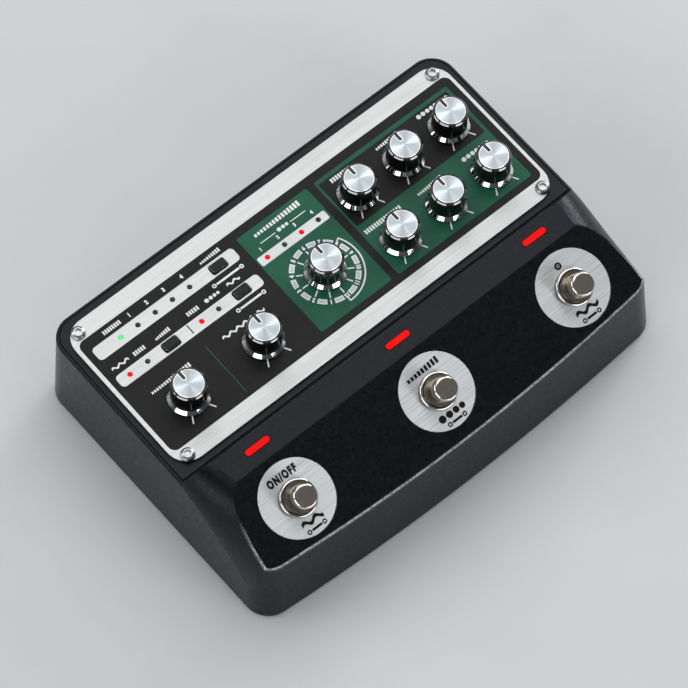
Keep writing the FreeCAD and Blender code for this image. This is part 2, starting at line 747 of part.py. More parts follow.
def main():
    save("top_case", [make_case()])
    deck = deck_plan(rim_gap, deck_bottom, -panel_sheet).cut(panel_holes())
    save("deck_panel", [placed(deck, PANEL)])
    panel = rounded_slab(panel_width, panel_depth, panel_radius, -panel_sheet, 0.0).cut(panel_holes())
    save("control_panel", [placed(panel, PANEL)])
    save("base_plate", [make_base()])
    save("base_screws", [moved(make_flat_screw(), x, y, floor_gap) for x, y in base_screw_spots()])
    foot = turned([(0.0, 0.0), (foot_radius - 0.4, 0.0), (foot_radius, 0.4), (foot_radius, floor_gap), (0.0, floor_gap)])
    save("rubber_feet", spots(foot, [(sx * foot_x, sy * foot_y) for sx in (-1, 1) for sy in (-1, 1)]))
    screw = make_screw(panel_screw_head, panel_screw_head_height, panel_screw_radius, panel_screw_length, 2.5)
    save("panel_screws", [placed(s, PANEL) for s in spots(screw, panel_screw_spots)])

    pot = make_pot(pot_width, pot_length, pot_pins(pot_width, pot_length))
    pot_places = [spot for name, spot in knob_spots.items() if name != "mode"]
    save("potentiometers", [placed(s, PANEL) for s in spots(pot, pot_places)])
    selector = make_pot(selector_size, selector_size, selector_pins(selector_size))
    save("mode_switch", [placed(moved(selector, *knob_spots["mode"]), PANEL)])
    nut = hexagon(bushing_nut_flats, 0.0, bushing_nut_height - 0.2).cut(post(bushing_radius + 0.03, -1, 5))
    save("panel_nuts", [placed(s, PANEL) for s in spots(nut, knob_spots.values())])
    save("panel_board", [placed(make_panel_board(), PANEL)])
    for name, places in lamp_spots.items():
        lamp = turned([
            (0.0, board_top), (lamp_shoulder_radius, board_top), (lamp_shoulder_radius, deck_bottom - 0.3),
            (lamp_radius, deck_bottom - 0.3), (lamp_radius, 0.0), (lamp_radius - 0.4, 0.2), (0.0, 0.25),
        ])
        save(name, [placed(s, PANEL) for s in spots(lamp, places)])
    tact = box(-3.0, 3.0, -3.0, 3.0, board_top, board_top + 3.7).cut(post(1.8, board_top + 1.2, 0.0))
    save("tact_switches", [placed(s, PANEL) for s in spots(tact, key_spots.values())])
    for name, spot in key_spots.items():
        save(name, [placed(moved(make_key(), *spot), PANEL)])
    for name, spot in knob_spots.items():
        make_knob(name, spot)

    body, plunger, collar, plate = make_footswitch()
    rows = [(-tread_spacing, 0.0), (0.0, 0.0), (tread_spacing, 0.0)]
    save("footswitch_housings", [placed(s, TREAD) for s in spots(body, rows)])
    save("footswitch_nuts", [placed(s, TREAD) for s in spots(collar, rows)])
    save("footswitch_plates", [placed(s, TREAD) for s in spots(plate, rows)])
    for name, spot in zip(("left", "middle", "right"), rows):
        save("footswitch_" + name, [placed(moved(plunger, *spot), TREAD)])
    roof = ridge_top - ridge_fall - wall
    lens = joined([
        stadium(bar_length, bar_width, roof - 0.3, ridge_top + 0.05),
        rounded_slab(bar_length + 2.2, bar_width + 2.2, 1.0, roof - 1.8, roof - 0.3),
        box(-3.5, 3.5, -1.7, 1.7, roof - 4.4, roof - 1.8),
        post(0.35, roof - 8.0, roof - 4.4, -1.27),
        post(0.35, roof - 8.0, roof - 4.4, 1.27),
    ])
    save("status_lenses", spots(lens, [(x, bar_y) for x, _ in rows]))

    board = box(-main_board_half, main_board_half, main_board_front, main_board_rear,
                main_board_top - board_sheet, main_board_top)
    holes = board_pins(rear_pins(), 0.9, 0.0, main_board_top + 1)
    holes += board_pins(main_board_screws, board_screw_radius + 0.2, 0.0, main_board_top + 1)
    save("main_board", [board.cut(holes)])
    screw = make_screw(board_screw_head, 1.4, board_screw_radius, 7.0, 2.0)
    save("board_screws", [moved(s, 0, 0, main_board_top) for s in spots(screw, main_board_screws)])
    parts = []
    for side, distance, ahead, wide, deep, tall in chips:
        x, y = on_board(side, distance, ahead)
        parts.append(box(x - wide / 2, x + wide / 2, y - deep / 2, y + deep / 2, main_board_top, main_board_top + tall))
    for side, distance, ahead in capacitors:
        x, y = on_board(side, distance, ahead)
        parts.append(post(2.5, main_board_top, main_board_top + 6.0, x, y))
    header_y = panel_y + header_w
    left, right = header_x - header_length / 2, header_x + header_length / 2
    half, header_top = header_width / 2, main_board_top + header_height
    parts.append(box(left, right, header_y - half, header_y + half, main_board_top, header_top))
    drop = panel_level(header_y, board_bottom) - header_top - header_gap
    parts.append(placed(box(left, right, header_w - half, header_w + half, board_bottom - drop, board_bottom), PANEL))
    save("board_parts", parts)
    save("phone_jacks", [make_phone(x) for x in phone_x])
    ring = hexagon(phone_nut_flats, 0.0, phone_nut_height).cut(post(phone_bushing + 0.03, -1, 9))
    save("jack_nuts", [placed(ring, along_y(x, spot_y, phone_z)) for x in phone_x])
    save("mini_jacks", [make_mini(x) for x in mini_x])
    save("usb_socket", [make_usb()])
    save("dc_inlet", [make_inlet()])


if __name__ == "__main__":
    main()
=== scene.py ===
import json
import logging
import math
from dataclasses import dataclass
from enum import Enum
from typing import Iterable, Sequence

import bmesh
import bpy
from mathutils import Matrix, Vector


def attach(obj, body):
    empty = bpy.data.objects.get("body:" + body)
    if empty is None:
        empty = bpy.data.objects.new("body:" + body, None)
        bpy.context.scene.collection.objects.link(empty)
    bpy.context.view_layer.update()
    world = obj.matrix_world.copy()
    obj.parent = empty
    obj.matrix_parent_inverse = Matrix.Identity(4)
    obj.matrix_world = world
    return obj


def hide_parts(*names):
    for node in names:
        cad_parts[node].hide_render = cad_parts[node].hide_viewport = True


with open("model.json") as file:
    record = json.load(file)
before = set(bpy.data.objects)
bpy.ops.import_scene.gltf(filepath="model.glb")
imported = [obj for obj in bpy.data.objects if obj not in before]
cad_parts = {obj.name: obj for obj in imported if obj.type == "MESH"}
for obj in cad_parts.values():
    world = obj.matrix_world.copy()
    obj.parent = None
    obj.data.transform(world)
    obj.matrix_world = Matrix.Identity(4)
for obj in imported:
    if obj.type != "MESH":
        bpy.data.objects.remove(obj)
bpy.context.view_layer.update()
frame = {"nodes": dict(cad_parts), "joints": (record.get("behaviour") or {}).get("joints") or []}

# The looks of a delay pedal: finishes, printed panel, knobs, switches, lamps, light and camera.
# Lengths are millimetres where a name says nothing else. x runs along the width, y towards the
# sockets and z up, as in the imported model.
MM: float = 0.001
LOG: logging.Logger = logging.getLogger("delay_pedal")
# stroke thickening of every printed figure, against its size
FIGURE_WEIGHT: float = 0.07
# vertices closer than this are joined
WELD: float = 0.0005

Point = tuple[float, float]
Triple = tuple[float, float, float]
Colour = tuple[float, float, float, float]


# Small tools

def linear(code: str) -> Colour:
    """Turns a display colour to the linear values that a shader takes.

    Args:
        code: sRGB colour as "#rrggbb".

    Returns:
        Linear red, green, blue and an alpha of 1.
    """
    shares = [int(code[i:i + 2], 16) / 255 for i in (1, 3, 5)]
    red, green, blue = [v / 12.92 if v <= 0.04045 else ((v + 0.055) / 1.055) ** 2.4 for v in shares]
    return red, green, blue, 1.0


def grey(level: float) -> Colour:
    """A grey of this linear level."""
    return level, level, level, 1.0


def set_stops(ramp: bpy.types.ColorRamp, stops: Sequence[tuple[float, Colour]]) -> None:
    """Gives a colour ramp its places and colours.

    Args:
        ramp: ramp of a new node.
        stops: place and colour of each stop, in order.
    """
    for place, _ in stops[2:]:
        ramp.elements.new(place)
    for element, (place, colour) in zip(ramp.elements, stops):
        element.position, element.color = place, colour


def per_metre(size: float) -> float:
    """Pattern scale for a feature of this size in millimetres."""
    return 1.0 / (size * MM)


def add_object(name: str, data: bpy.types.ID) -> bpy.types.Object:
    """Makes an object and links it to the scene.

    Args:
        name: name of the object.
        data: its mesh, curve, lamp or camera.

    Returns:
        The new object.
    """
    made = bpy.data.objects.new(name, data)
    bpy.context.scene.collection.objects.link(made)
    return made


def add_node(tree: bpy.types.NodeTree, kind: str, inputs: dict | None = None,
             **settings: object) -> bpy.types.Node:
    """Adds one node with its settings, values and links.

    Args:
        tree: node tree that takes the node.
        kind: Blender's name for the node type.
        inputs: value or output socket for each input, by name or number.
        settings: attributes of the node itself.

    Returns:
        The new node.
    """
    node = tree.nodes.new(kind)
    for name, value in settings.items():
        setattr(node, name, value)
    for key, value in (inputs or {}).items():
        if isinstance(value, bpy.types.NodeSocket):
            tree.links.new(value, node.inputs[key])
        else:
            node.inputs[key].default_value = value
    return node


def arc(radius: float, start: float, end: float, steps: int,
        centre: Point = (0.0, 0.0)) -> list[Point]:
    """Points along an arc.

    Args:
        radius: its radius.
        start: first angle in degrees.
        end: last angle in degrees.
        steps: edges along the arc.
        centre: middle of the arc.

    Returns:
        Points from the first angle to the last, both counted.
    """
    turns = [math.radians(start + (end - start) * i / steps) for i in range(steps + 1)]
    return [(centre[0] + radius * math.cos(t), centre[1] + radius * math.sin(t)) for t in turns]


def circle(radius: float, steps: int = 96, centre: Point = (0.0, 0.0)) -> list[Point]:
    """Points of a circle, counter-clockwise from +x."""
    return arc(radius, 0.0, 360.0, steps, centre)[:-1]


def polar(centre: Point, radius: float, angle: float) -> Point:
    """Point at a distance from a centre, at an angle in degrees."""
    return arc(radius, angle, angle, 1, centre)[0]


def rounded(x0: float, x1: float, y0: float, y1: float, radius: float,
            steps: int = 8) -> list[Point]:
    """Outline of a rectangle with rounded corners, counter-clockwise.

    Args:
        x0: left side.
        x1: right side.
        y0: near side.
        y1: far side.
        radius: corner radius.
        steps: edges in each corner.

    Returns:
        The outline.
    """
    corners = [(x1 - radius, y0 + radius, -90), (x1 - radius, y1 - radius, 0),
               (x0 + radius, y1 - radius, 90), (x0 + radius, y0 + radius, 180)]
    return [p for x, y, start in corners for p in arc(radius, start, start + 90, steps, (x, y))]


def arc_band(inner: float, outer: float, start: float, end: float, steps: int,
             centre: Point) -> list[Point]:
    """Outline of a piece of a ring, counter-clockwise.

    Args:
        inner: inner radius.
        outer: outer radius.
        start: first angle in degrees.
        end: last angle in degrees, larger than start.
        steps: edges along each arc.
        centre: middle of the ring.

    Returns:
        The outline.
    """
    return arc(outer, start, end, steps, centre) + arc(inner, end, start, steps, centre)


def bar(centre: Point, length: float, width: float, angle: float = 0.0) -> list[Point]:
    """Outline of a straight bar, counter-clockwise.

    Args:
        centre: its middle.
        length: its long side.
        width: its other side.
        angle: turn about the middle, in degrees.

    Returns:
        The outline.
    """
    cos, sin = math.cos(math.radians(angle)), math.sin(math.radians(angle))
    half, side = length / 2, width / 2
    return [(centre[0] + x * cos - y * sin, centre[1] + x * sin + y * cos)
            for x, y in ((-half, -side), (half, -side), (half, side), (-half, side))]


@dataclass(frozen=True)
class Face:
    """A flat face that pieces stand on: the place of its middle and its lean about the x axis."""

    origin: Triple
    tilt: float

    def lean(self) -> Matrix:
        """Turn of a piece that lies on the face."""
        return Matrix.Rotation(math.radians(self.tilt), 4, "X")

    def matrix(self, x: float = 0.0, y: float = 0.0) -> Matrix:
        """Placement of a piece on the face.

        Args:
            x: distance across, from the middle.
            y: distance up the face, from the middle.

        Returns:
            A matrix in metres.
        """
        place = Matrix.Translation(Vector(self.origin) * MM) @ self.lean()
        return place @ Matrix.Translation((x * MM, y * MM, 0.0))


PANEL = Face((0.0, 24.0, 42.44), 2.3)
TREAD = Face((0.0, -45.4, 40.24), 26.55)


class Shape:
    """Faces collected in millimetres that become one mesh object."""

    def __init__(self) -> None:
        """Starts with no faces."""
        self.mesh = bmesh.new()

    def shell(self, rows: Sequence[Sequence[Vector]], low: bool = True, high: bool = True,
              finish: int = 0, loop: bool = False) -> None:
        """Joins outlines of equal length by quads.

        Args:
            rows: outlines from the lowest to the highest, each counter-clockwise.
            low: whether the first outline is closed by a face.
            high: whether the last outline is closed by a face.
            finish: material slot of the new faces.
            loop: whether the last outline joins the first, as in a ring.
        """
        rings = [[self.mesh.verts.new(p) for p in row] for row in rows]
        rings += rings[:1] if loop else []
        faces = []
        for under, over in zip(rings, rings[1:]):
            for i in range(len(under)):
                j = (i + 1) % len(under)
                faces.append(self.mesh.faces.new((under[i], under[j], over[j], over[i])))
        if low:
            faces.append(self.mesh.faces.new(list(reversed(rings[0]))))
        if high:
            faces.append(self.mesh.faces.new(rings[-1]))
        for face in faces:
            face.material_index = finish

    def turned(self, profile: Sequence[Point], steps: int = 96, centre: Point = (0.0, 0.0),
               finish: int = 0, ends: bool = True, loop: bool = False) -> None:
        """Turns a profile about the z axis, as on a lathe.

        Args:
            profile: radius and height of each point, from the bottom up the outside.
            steps: faces round the axis.
            centre: place of the axis.
            finish: material slot of the new faces.
            ends: whether flat faces close the two ends.
            loop: whether the profile is a loop, as for a ring.
        """
        rows = [[Vector((x, y, z)) for x, y in circle(r, steps, centre)] for r, z in profile]
        self.shell(rows, ends and not loop, ends and not loop, finish, loop)

    def film(self, outline: Sequence[Point], height: float, holes: Iterable[Sequence[Point]] = (),
             finish: int = 0) -> None:
        """Adds a flat printed area.

        Args:
            outline: outer edge.
            height: height above the face that carries it.
            holes: edges of the places left out.
            finish: material slot of the new faces.
        """
        edges = []
        for edge in [outline, *holes]:
            corners = [self.mesh.verts.new((x, y, height)) for x, y in edge]
            edges += [self.mesh.edges.new(pair) for pair in zip(corners, corners[1:] + corners[:1])]
        made = bmesh.ops.triangle_fill(self.mesh, use_beauty=True, use_dissolve=False, edges=edges,
                                       normal=(0.0, 0.0, 1.0))
        self.face_up([part for part in made["geom"] if isinstance(part, bmesh.types.BMFace)], finish)

    def face_up(self, faces: Iterable[bmesh.types.BMFace], finish: int) -> None:
        """Turns flat faces to look up and gives them their finish.

        Args:
            faces: the faces.
            finish: their material slot.
        """
        for face in faces:
            face.normal_update()
            if face.normal.z < 0:
                face.normal_flip()
            face.material_index = finish

    def digits(self, text: str, centre: Point, tall: float, height: float, spin: float = 0.0,
               squeeze: float = 0.86, spacing: float = 1.0, finish: int = 0) -> None:
        """Prints plain figures, centred on a point.

        Args:
            text: the figures.
            centre: their middle.
            tall: height of a figure.
            height: height above the face that carries it.
            spin: turn in degrees, counter-clockwise.
            squeeze: width of a figure against the plain font's.
            spacing: pitch of the figures against the plain font's.
            finish: material slot of the new faces.
        """
        curve = bpy.data.curves.new("figures", "FONT")
        curve.body, curve.align_x, curve.offset, curve.resolution_u = text, "CENTER", FIGURE_WEIGHT, 4
        curve.space_character = spacing
        holder = add_object("figures", curve)
        flat = bpy.data.meshes.new_from_object(holder)
        bpy.data.objects.remove(holder)
        bpy.data.curves.remove(curve)
        low, high = [Vector([pick(v.co[i] for v in flat.vertices) for i in range(3)])
                     for pick in (min, max)]
        scale = tall / (high.y - low.y)
        turn = Matrix.Rotation(math.radians(spin), 4, "Z")
        corners = []
        for vertex in flat.vertices:
            p = (vertex.co - (low + high) / 2) * scale
            p = turn @ Vector((p.x * squeeze, p.y, 0.0))
            corners.append(self.mesh.verts.new((centre[0] + p.x, centre[1] + p.y, height)))
        self.face_up([self.mesh.faces.new([corners[i] for i in part.vertices]) for part in flat.polygons],
                     finish)
        bpy.data.meshes.remove(flat)

    def weld(self) -> None:
        """Joins vertices that lie in one place."""
        bmesh.ops.remove_doubles(self.mesh, verts=self.mesh.verts, dist=WELD)

    def data(self, name: str, finishes: Sequence[bpy.types.Material],
             crease: float = 32.0) -> bpy.types.Mesh:
        """Turns the faces to a mesh in metres.

        Args:
            name: name of the mesh.
            finishes: material of each slot.
            crease: angle in degrees from which an edge stays sharp.

        Returns:
            The mesh, smoothly shaded.
        """
        bmesh.ops.scale(self.mesh, vec=(MM, MM, MM), verts=self.mesh.verts)
        mesh = bpy.data.meshes.new(name)
        self.mesh.to_mesh(mesh)
        self.mesh.free()
        mesh.shade_smooth()
        mesh.set_sharp_from_angle(angle=math.radians(crease))
        for finish in finishes:
            mesh.materials.append(finish)
        return mesh


def place_piece(name: str, mesh: bpy.types.Mesh, place: Matrix, body: str,
                stands_for: Sequence[str] = ()) -> bpy.types.Object:
    """Puts a mesh in the scene on one of the model's bodies.

    Args:
        name: name of the piece.
        mesh: its mesh.
        place: its placement at rest, in metres.
        body: body that it moves with.
        stands_for: nodes that it replaces.

    Returns:
        The new object.
    """
    piece = add_object(name, mesh)
    piece.matrix_world = place
    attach(piece, body)
    if stands_for:
        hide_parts(*stands_for)
    return piece


# Finishes

class Surface:
    """A new material with its shader and the place of each point on the piece."""

    def __init__(self, name: str, **values: object) -> None:
        """Makes the material.

        Args:
            name: name of the material.
            values: values of the shader's sockets, with _ for a space.
        """
        self.material = bpy.data.materials.new(name)
        self.material.use_nodes = True
        self.tree = self.material.node_tree
        self.shader = self.tree.nodes["Principled BSDF"]
        for socket, value in values.items():
            self.shader.inputs[socket.replace("_", " ")].default_value = value
        self.place = add_node(self.tree, "ShaderNodeTexCoord").outputs["Object"]

    def spots(self, size: float, detail: float = 4.0,
              stretch: Triple = (1.0, 1.0, 1.0)) -> bpy.types.NodeSocket:
        """Adds an uneven pattern.

        Args:
            size: size of a spot in millimetres.
            detail: octaves of finer spots.
            stretch: how much longer a spot is along each axis.

        Returns:
            The pattern's value, from 0 to 1.
        """
        scale = [per_metre(size) / s for s in stretch]
        at = add_node(self.tree, "ShaderNodeMapping", {"Vector": self.place, "Scale": scale})
        return add_node(self.tree, "ShaderNodeTexNoise",
                        {"Vector": at.outputs[0], "Scale": 1.0, "Detail": detail, "Roughness": 0.55}
                        ).outputs["Fac"]

    def tint(self, value: bpy.types.NodeSocket, dark: str, light: str, low: float = 0.35,
             high: float = 0.65) -> None:
        """Colours the piece between two shades by a pattern.

        Args:
            value: the pattern.
            dark: shade at the low end.
            light: shade at the high end.
            low: pattern value of the dark shade.
            high: pattern value of the light shade.
        """
        ramp = add_node(self.tree, "ShaderNodeValToRGB", {"Fac": value})
        set_stops(ramp.color_ramp, ((low, linear(dark)), (high, linear(light))))
        self.tree.links.new(ramp.outputs["Color"], self.shader.inputs["Base Color"])

    def rough(self, value: bpy.types.NodeSocket, low: float, high: float) -> None:
        """Varies the roughness between two values by a pattern.

        Args:
            value: the pattern.
            low: roughness where the pattern is about 0.3.
            high: roughness where it is about 0.7.
        """
        span = add_node(self.tree, "ShaderNodeMapRange",
                        {"Value": value, "From Min": 0.3, "From Max": 0.7, "To Min": low, "To Max": high})
        self.tree.links.new(span.outputs["Result"], self.shader.inputs["Roughness"])

    def relief(self, value: bpy.types.NodeSocket, depth: float, strength: float = 1.0,
               edge: float = 0.0) -> None:
        """Raises the surface by a pattern.

        Args:
            value: the pattern.
            depth: height of the relief in millimetres.
            strength: share of it that shows.
            edge: radius in millimetres that softens sharp edges, or 0.
        """
        inputs: dict = {"Height": value, "Distance": depth * MM, "Strength": strength}
        if edge:
            soft = add_node(self.tree, "ShaderNodeBevel", {"Radius": edge * MM}, samples=4)
            inputs["Normal"] = soft.outputs[0]
        bump = add_node(self.tree, "ShaderNodeBump", inputs)
        self.tree.links.new(bump.outputs["Normal"], self.shader.inputs["Normal"])


@dataclass(frozen=True)
class Coating:
    """What every finish has: its name and the two shades that it varies between."""

    name: str
    dark: str
    light: str


@dataclass(frozen=True)
class PowderCoat(Coating):
    """Polyester powder baked on die-cast alloy: dry black with a grain, and a painted highlight along the
    front rim.
    """

    grain: float
    depth: float
    roughness: float
    gloss: float
    # bluish tint on the coat's reflections, which stands in for the cool lamp light: painted light colour
    cast: str = "#e6eeff"
    # colour of the painted highlight along the tread's front and side rim, or empty for none
    worn: str = ""
    # the painted highlight band: height of the rounded edge, from where to where along y the highlight
    # grows, and its share at places down the edge
    rounding: float = 1.4
    rim: Point = (-40.0, -54.0)
    band: tuple[Point, ...] = ((0.02, 0.0), (0.08, 1.0), (0.3, 0.8), (0.42, 0.25), (0.98, 0.0))

    def build(self) -> bpy.types.Material:
        """Makes the material.

        Returns:
            The finished material.
        """
        surface = Surface(self.name, IOR=1.5, Specular_IOR_Level=self.gloss,
                          Specular_Tint=linear(self.cast))
        grain = surface.spots(self.grain, detail=3.0)
        cloud = surface.spots(self.grain * 1.7, detail=5.0)
        surface.tint(cloud, self.dark, self.light, low=0.42, high=0.66)
        # painted highlight where the lamps would catch the tread's rounded rim
        if self.worn:
            self.wear(surface, grain)
        surface.rough(surface.spots(self.grain * 2.5), self.roughness - 0.06, self.roughness + 0.06)
        surface.relief(grain, self.depth)
        return surface.material

    def wear(self, surface: Surface, grain: bpy.types.NodeSocket) -> None:
        """Paints a highlight, mottled by the grain, in a narrow band under the tread's front and side
        edges.

        Args:
            surface: the material so far.
            grain: pattern of the grain.
        """
        tree = surface.tree
        lean = TREAD.matrix().to_3x3() @ Vector((0.0, 0.0, 1.0))
        level = add_node(tree, "ShaderNodeVectorMath", {0: surface.place, 1: lean}, operation="DOT_PRODUCT")
        back = add_node(tree, "ShaderNodeSeparateXYZ", {0: surface.place})
        top = lean.dot(Vector(TREAD.origin) * MM)
        # how far a point is down the rounding, how far forward it is, and how high it stands in the grain
        down, near, high = [
            add_node(tree, "ShaderNodeMapRange",
                     {"Value": value, "From Min": start, "From Max": end, "To Min": least, "To Max": 1.0}
                     ).outputs["Result"]
            for value, start, end, least in (
                (level.outputs["Value"], top, top - self.rounding * MM, 0.0),
                (back.outputs["Y"], self.rim[0] * MM, self.rim[1] * MM, 0.0),
                (grain, 0.38, 0.58, 0.3))]
        band = add_node(tree, "ShaderNodeValToRGB", {"Fac": down})
        set_stops(band.color_ramp, [(place, grey(share)) for place, share in self.band])
        patchy = add_node(tree, "ShaderNodeMath", {0: high, 1: near}, operation="MULTIPLY")
        share = add_node(tree, "ShaderNodeMath", {0: band.outputs["Color"], 1: patchy.outputs[0]},
                         operation="MULTIPLY")
        # the coat's colour mixed toward the painted highlight colour in the band
        coat = surface.shader.inputs["Base Color"].links[0].from_socket
        painted_highlight = add_node(tree, "ShaderNodeMix",
                          {"Factor": share.outputs[0], "A": coat, "B": linear(self.worn)}, data_type="RGBA")
        tree.links.new(painted_highlight.outputs["Result"], surface.shader.inputs["Base Color"])


@dataclass(frozen=True)
class BrushedPlate(Coating):
    """Sheet drawn under an abrasive belt: fine straight streaks that stretch the light across them."""

    across: Triple
    streak: float = 0.30
    length: float = 60.0
    roughness: float = 0.40
    anisotropy: float = 0.85
    groove: float = 0.0009

    def build(self) -> bpy.types.Material:
        """Makes the material.

        Returns:
            The finished material.
        """
        surface = Surface(self.name, Metallic=1.0, Anisotropic=self.anisotropy)
        # the belt's scratches are finer than a pixel, so only the broadest ones are drawn
        fine = surface.spots(self.streak, detail=2.0, stretch=(self.length / self.streak, 1.0, 1.0))
        surface.tint(fine, self.dark, self.light, low=0.3, high=0.7)
        surface.rough(fine, self.roughness + 0.03, self.roughness - 0.03)
        surface.relief(fine, self.groove, strength=0.8, edge=0.25)
        along = add_node(surface.tree, "ShaderNodeCombineXYZ", dict(zip("XYZ", self.across)))
        surface.tree.links.new(along.outputs[0], surface.shader.inputs["Tangent"])
        return surface.material


@dataclass(frozen=True)
class SpunCap(Coating):
    """Aluminium turned with a fine feed: grooves round the middle that fan the light out in sectors."""

    roughness: float
    anisotropy: float
    feed: float = 0.32

    def build(self) -> bpy.types.Material:
        """Makes the material.

        Returns:
            The finished material.
        """
        surface = Surface(self.name, Metallic=1.0, Anisotropic=self.anisotropy, Roughness=self.roughness)
        tree = surface.tree
        flat = add_node(tree, "ShaderNodeVectorMath", {0: surface.place, 1: (1.0, 1.0, 0.0)},
                        operation="MULTIPLY")
        radius = add_node(tree, "ShaderNodeVectorMath", {0: flat.outputs[0]}, operation="LENGTH")
        groove = add_node(tree, "ShaderNodeTexNoise",
                          {"W": radius.outputs["Value"], "Scale": per_metre(self.feed), "Detail": 2.0},
                          noise_dimensions="1D").outputs["Fac"]
        surface.tint(groove, self.dark, self.light, low=0.3, high=0.7)
        surface.rough(groove, self.roughness - 0.02, self.roughness + 0.02)
        around = add_node(tree, "ShaderNodeVectorMath", {0: surface.place, 1: (0.0, 0.0, 1.0)},
                          operation="CROSS_PRODUCT")
        normal = add_node(tree, "ShaderNodeNewGeometry")
        outward = add_node(tree, "ShaderNodeVectorTransform", {0: around.outputs[0]}, vector_type="VECTOR",
                           convert_from="OBJECT", convert_to="WORLD")
        across = add_node(tree, "ShaderNodeVectorMath",
                          {0: outward.outputs[0], 1: normal.outputs["Normal"]}, operation="CROSS_PRODUCT")
        tree.links.new(across.outputs[0], surface.shader.inputs["Tangent"])
        return surface.material


@dataclass(frozen=True)
class PlatedMetal(Coating):
    """Steel or brass with a plated skin: a clear mirror or a soft grey shine, with faint wiping marks."""

    roughness: float
    edge: float = 0.18
    thread: float = 0.0

    def build(self) -> bpy.types.Material:
        """Makes the material.

        Returns:
            The finished material.
        """
        surface = Surface(self.name, Metallic=1.0)
        wiped = surface.spots(size=1.1, detail=5.0, stretch=(3.0, 1.0, 1.0))
        surface.tint(surface.spots(size=3.5), self.dark, self.light)
        surface.rough(wiped, max(0.02, self.roughness - 0.03), self.roughness + 0.05)
        if self.thread:
            lean = add_node(surface.tree, "ShaderNodeVectorRotate",
                            {"Vector": surface.place, "Angle": -math.radians(TREAD.tilt)},
                            rotation_type="X_AXIS")
            # a wave of scale 1 has a ridge every pi / 10; the thread is too fine to show, so each
            # ridge stands for two of its turns
            ridges = add_node(surface.tree, "ShaderNodeTexWave",
                              {"Vector": lean.outputs[0], "Scale": per_metre(self.thread) / 20 * math.pi,
                               "Distortion": 0.0},
                              wave_type="BANDS", bands_direction="Z", wave_profile="SIN")
            surface.relief(ridges.outputs["Fac"], self.thread * 0.5, strength=0.8)
        else:
            surface.relief(wiped, depth=0.0015, strength=0.6, edge=self.edge)
        return surface.material


@dataclass(frozen=True)
class Moulding(Coating):
    """Injection-moulded plastic or rubber: a black satin or glossy skin with a trace of the flow."""

    roughness: float
    grain: float = 0.5
    depth: float = 0.004
    ior: float = 1.49
    edge: float = 0.12

    def build(self) -> bpy.types.Material:
        """Makes the material.

        Returns:
            The finished material.
        """
        surface = Surface(self.name, IOR=self.ior)
        surface.tint(surface.spots(size=6.0), self.dark, self.light)
        surface.rough(surface.spots(self.grain * 3), self.roughness - 0.04, self.roughness + 0.05)
        surface.relief(surface.spots(self.grain, detail=3.0), self.depth, edge=self.edge)
        return surface.material


@dataclass(frozen=True)
class ScreenInk(Coating):
    """Screen-printed enamel ink, cured on the plate: an even satin film with a trace of the mesh."""

    roughness: float = 0.42
    gloss: float = 0.35
    mesh: float = 0.3

    def build(self) -> bpy.types.Material:
        """Makes the material.

        Returns:
            The finished material.
        """
        surface = Surface(self.name, IOR=1.5, Specular_IOR_Level=self.gloss)
        surface.tint(surface.spots(size=9.0, detail=5.0), self.dark, self.light)
        surface.rough(surface.spots(size=2.2), self.roughness - 0.05, self.roughness + 0.06)
        # the printing mesh is finer than a pixel, so its weave is drawn at this coarser spacing
        surface.relief(surface.spots(self.mesh, detail=2.0), depth=0.003, strength=0.8)
        return surface.material


@dataclass(frozen=True)
class LampLens(Coating):
    """Tinted acrylic over a lamp: clear gloss outside, and a milky core that glows where it is lit."""

    glow: float = 0.0
    unlit: str = "#300405"
    glow_from: float = 0.0
    glow_blend: float = 0.1

    def build(self) -> bpy.types.Material:
        """Makes the material.

        Returns:
            The finished material.
        """
        surface = Surface(self.name, IOR=1.49, Emission_Strength=self.glow, Specular_IOR_Level=0.1)
        milk = surface.spots(size=1.2, detail=3.0)
        surface.tint(milk, self.dark, self.light)
        if self.glow:
            ramp = surface.shader.inputs["Base Color"].links[0]
            core = ramp.from_socket
            if self.glow_from:
                # the walls are masked, so the lens is bright only from this height up
                height = add_node(surface.tree, "ShaderNodeSeparateXYZ", {0: surface.place}).outputs["Z"]
                face = add_node(surface.tree, "ShaderNodeMapRange",
                                {"Value": height, "From Min": (self.glow_from - self.glow_blend) * MM,
                                 "From Max": self.glow_from * MM, "To Min": 0.0, "To Max": 1.0})
                core = add_node(surface.tree, "ShaderNodeMix",
                                {"Factor": face.outputs["Result"], "A": grey(0.0), "B": core},
                                data_type="RGBA").outputs["Result"]
            surface.tree.links.new(core, surface.shader.inputs["Emission Color"])
            surface.tree.links.remove(ramp)
            surface.shader.inputs["Base Color"].default_value = linear(self.unlit)
        surface.rough(milk, low=0.16, high=0.28)
        surface.relief(surface.spots(size=0.5, detail=2.0), depth=0.004, strength=0.5)
        return surface.material


@dataclass(frozen=True)
class BoardLaminate(Coating):
    """Glass-fibre laminate under green solder mask: glossy green over paler tracks."""

    track: float = 1.3

    def build(self) -> bpy.types.Material:
        """Makes the material.

        Returns:
            The finished material.
        """
        surface = Surface(self.name, IOR=1.52)
        tracks = add_node(surface.tree, "ShaderNodeTexVoronoi",
                          {"Vector": surface.place, "Scale": per_metre(self.track * 2)},
                          distance="MANHATTAN", feature="F1")
        surface.tint(tracks.outputs["Distance"], self.light, self.dark, low=0.3, high=0.5)
        surface.rough(surface.spots(size=0.8), low=0.28, high=0.4)
        surface.relief(tracks.outputs["Distance"], depth=0.03, strength=0.6)
        return surface.material


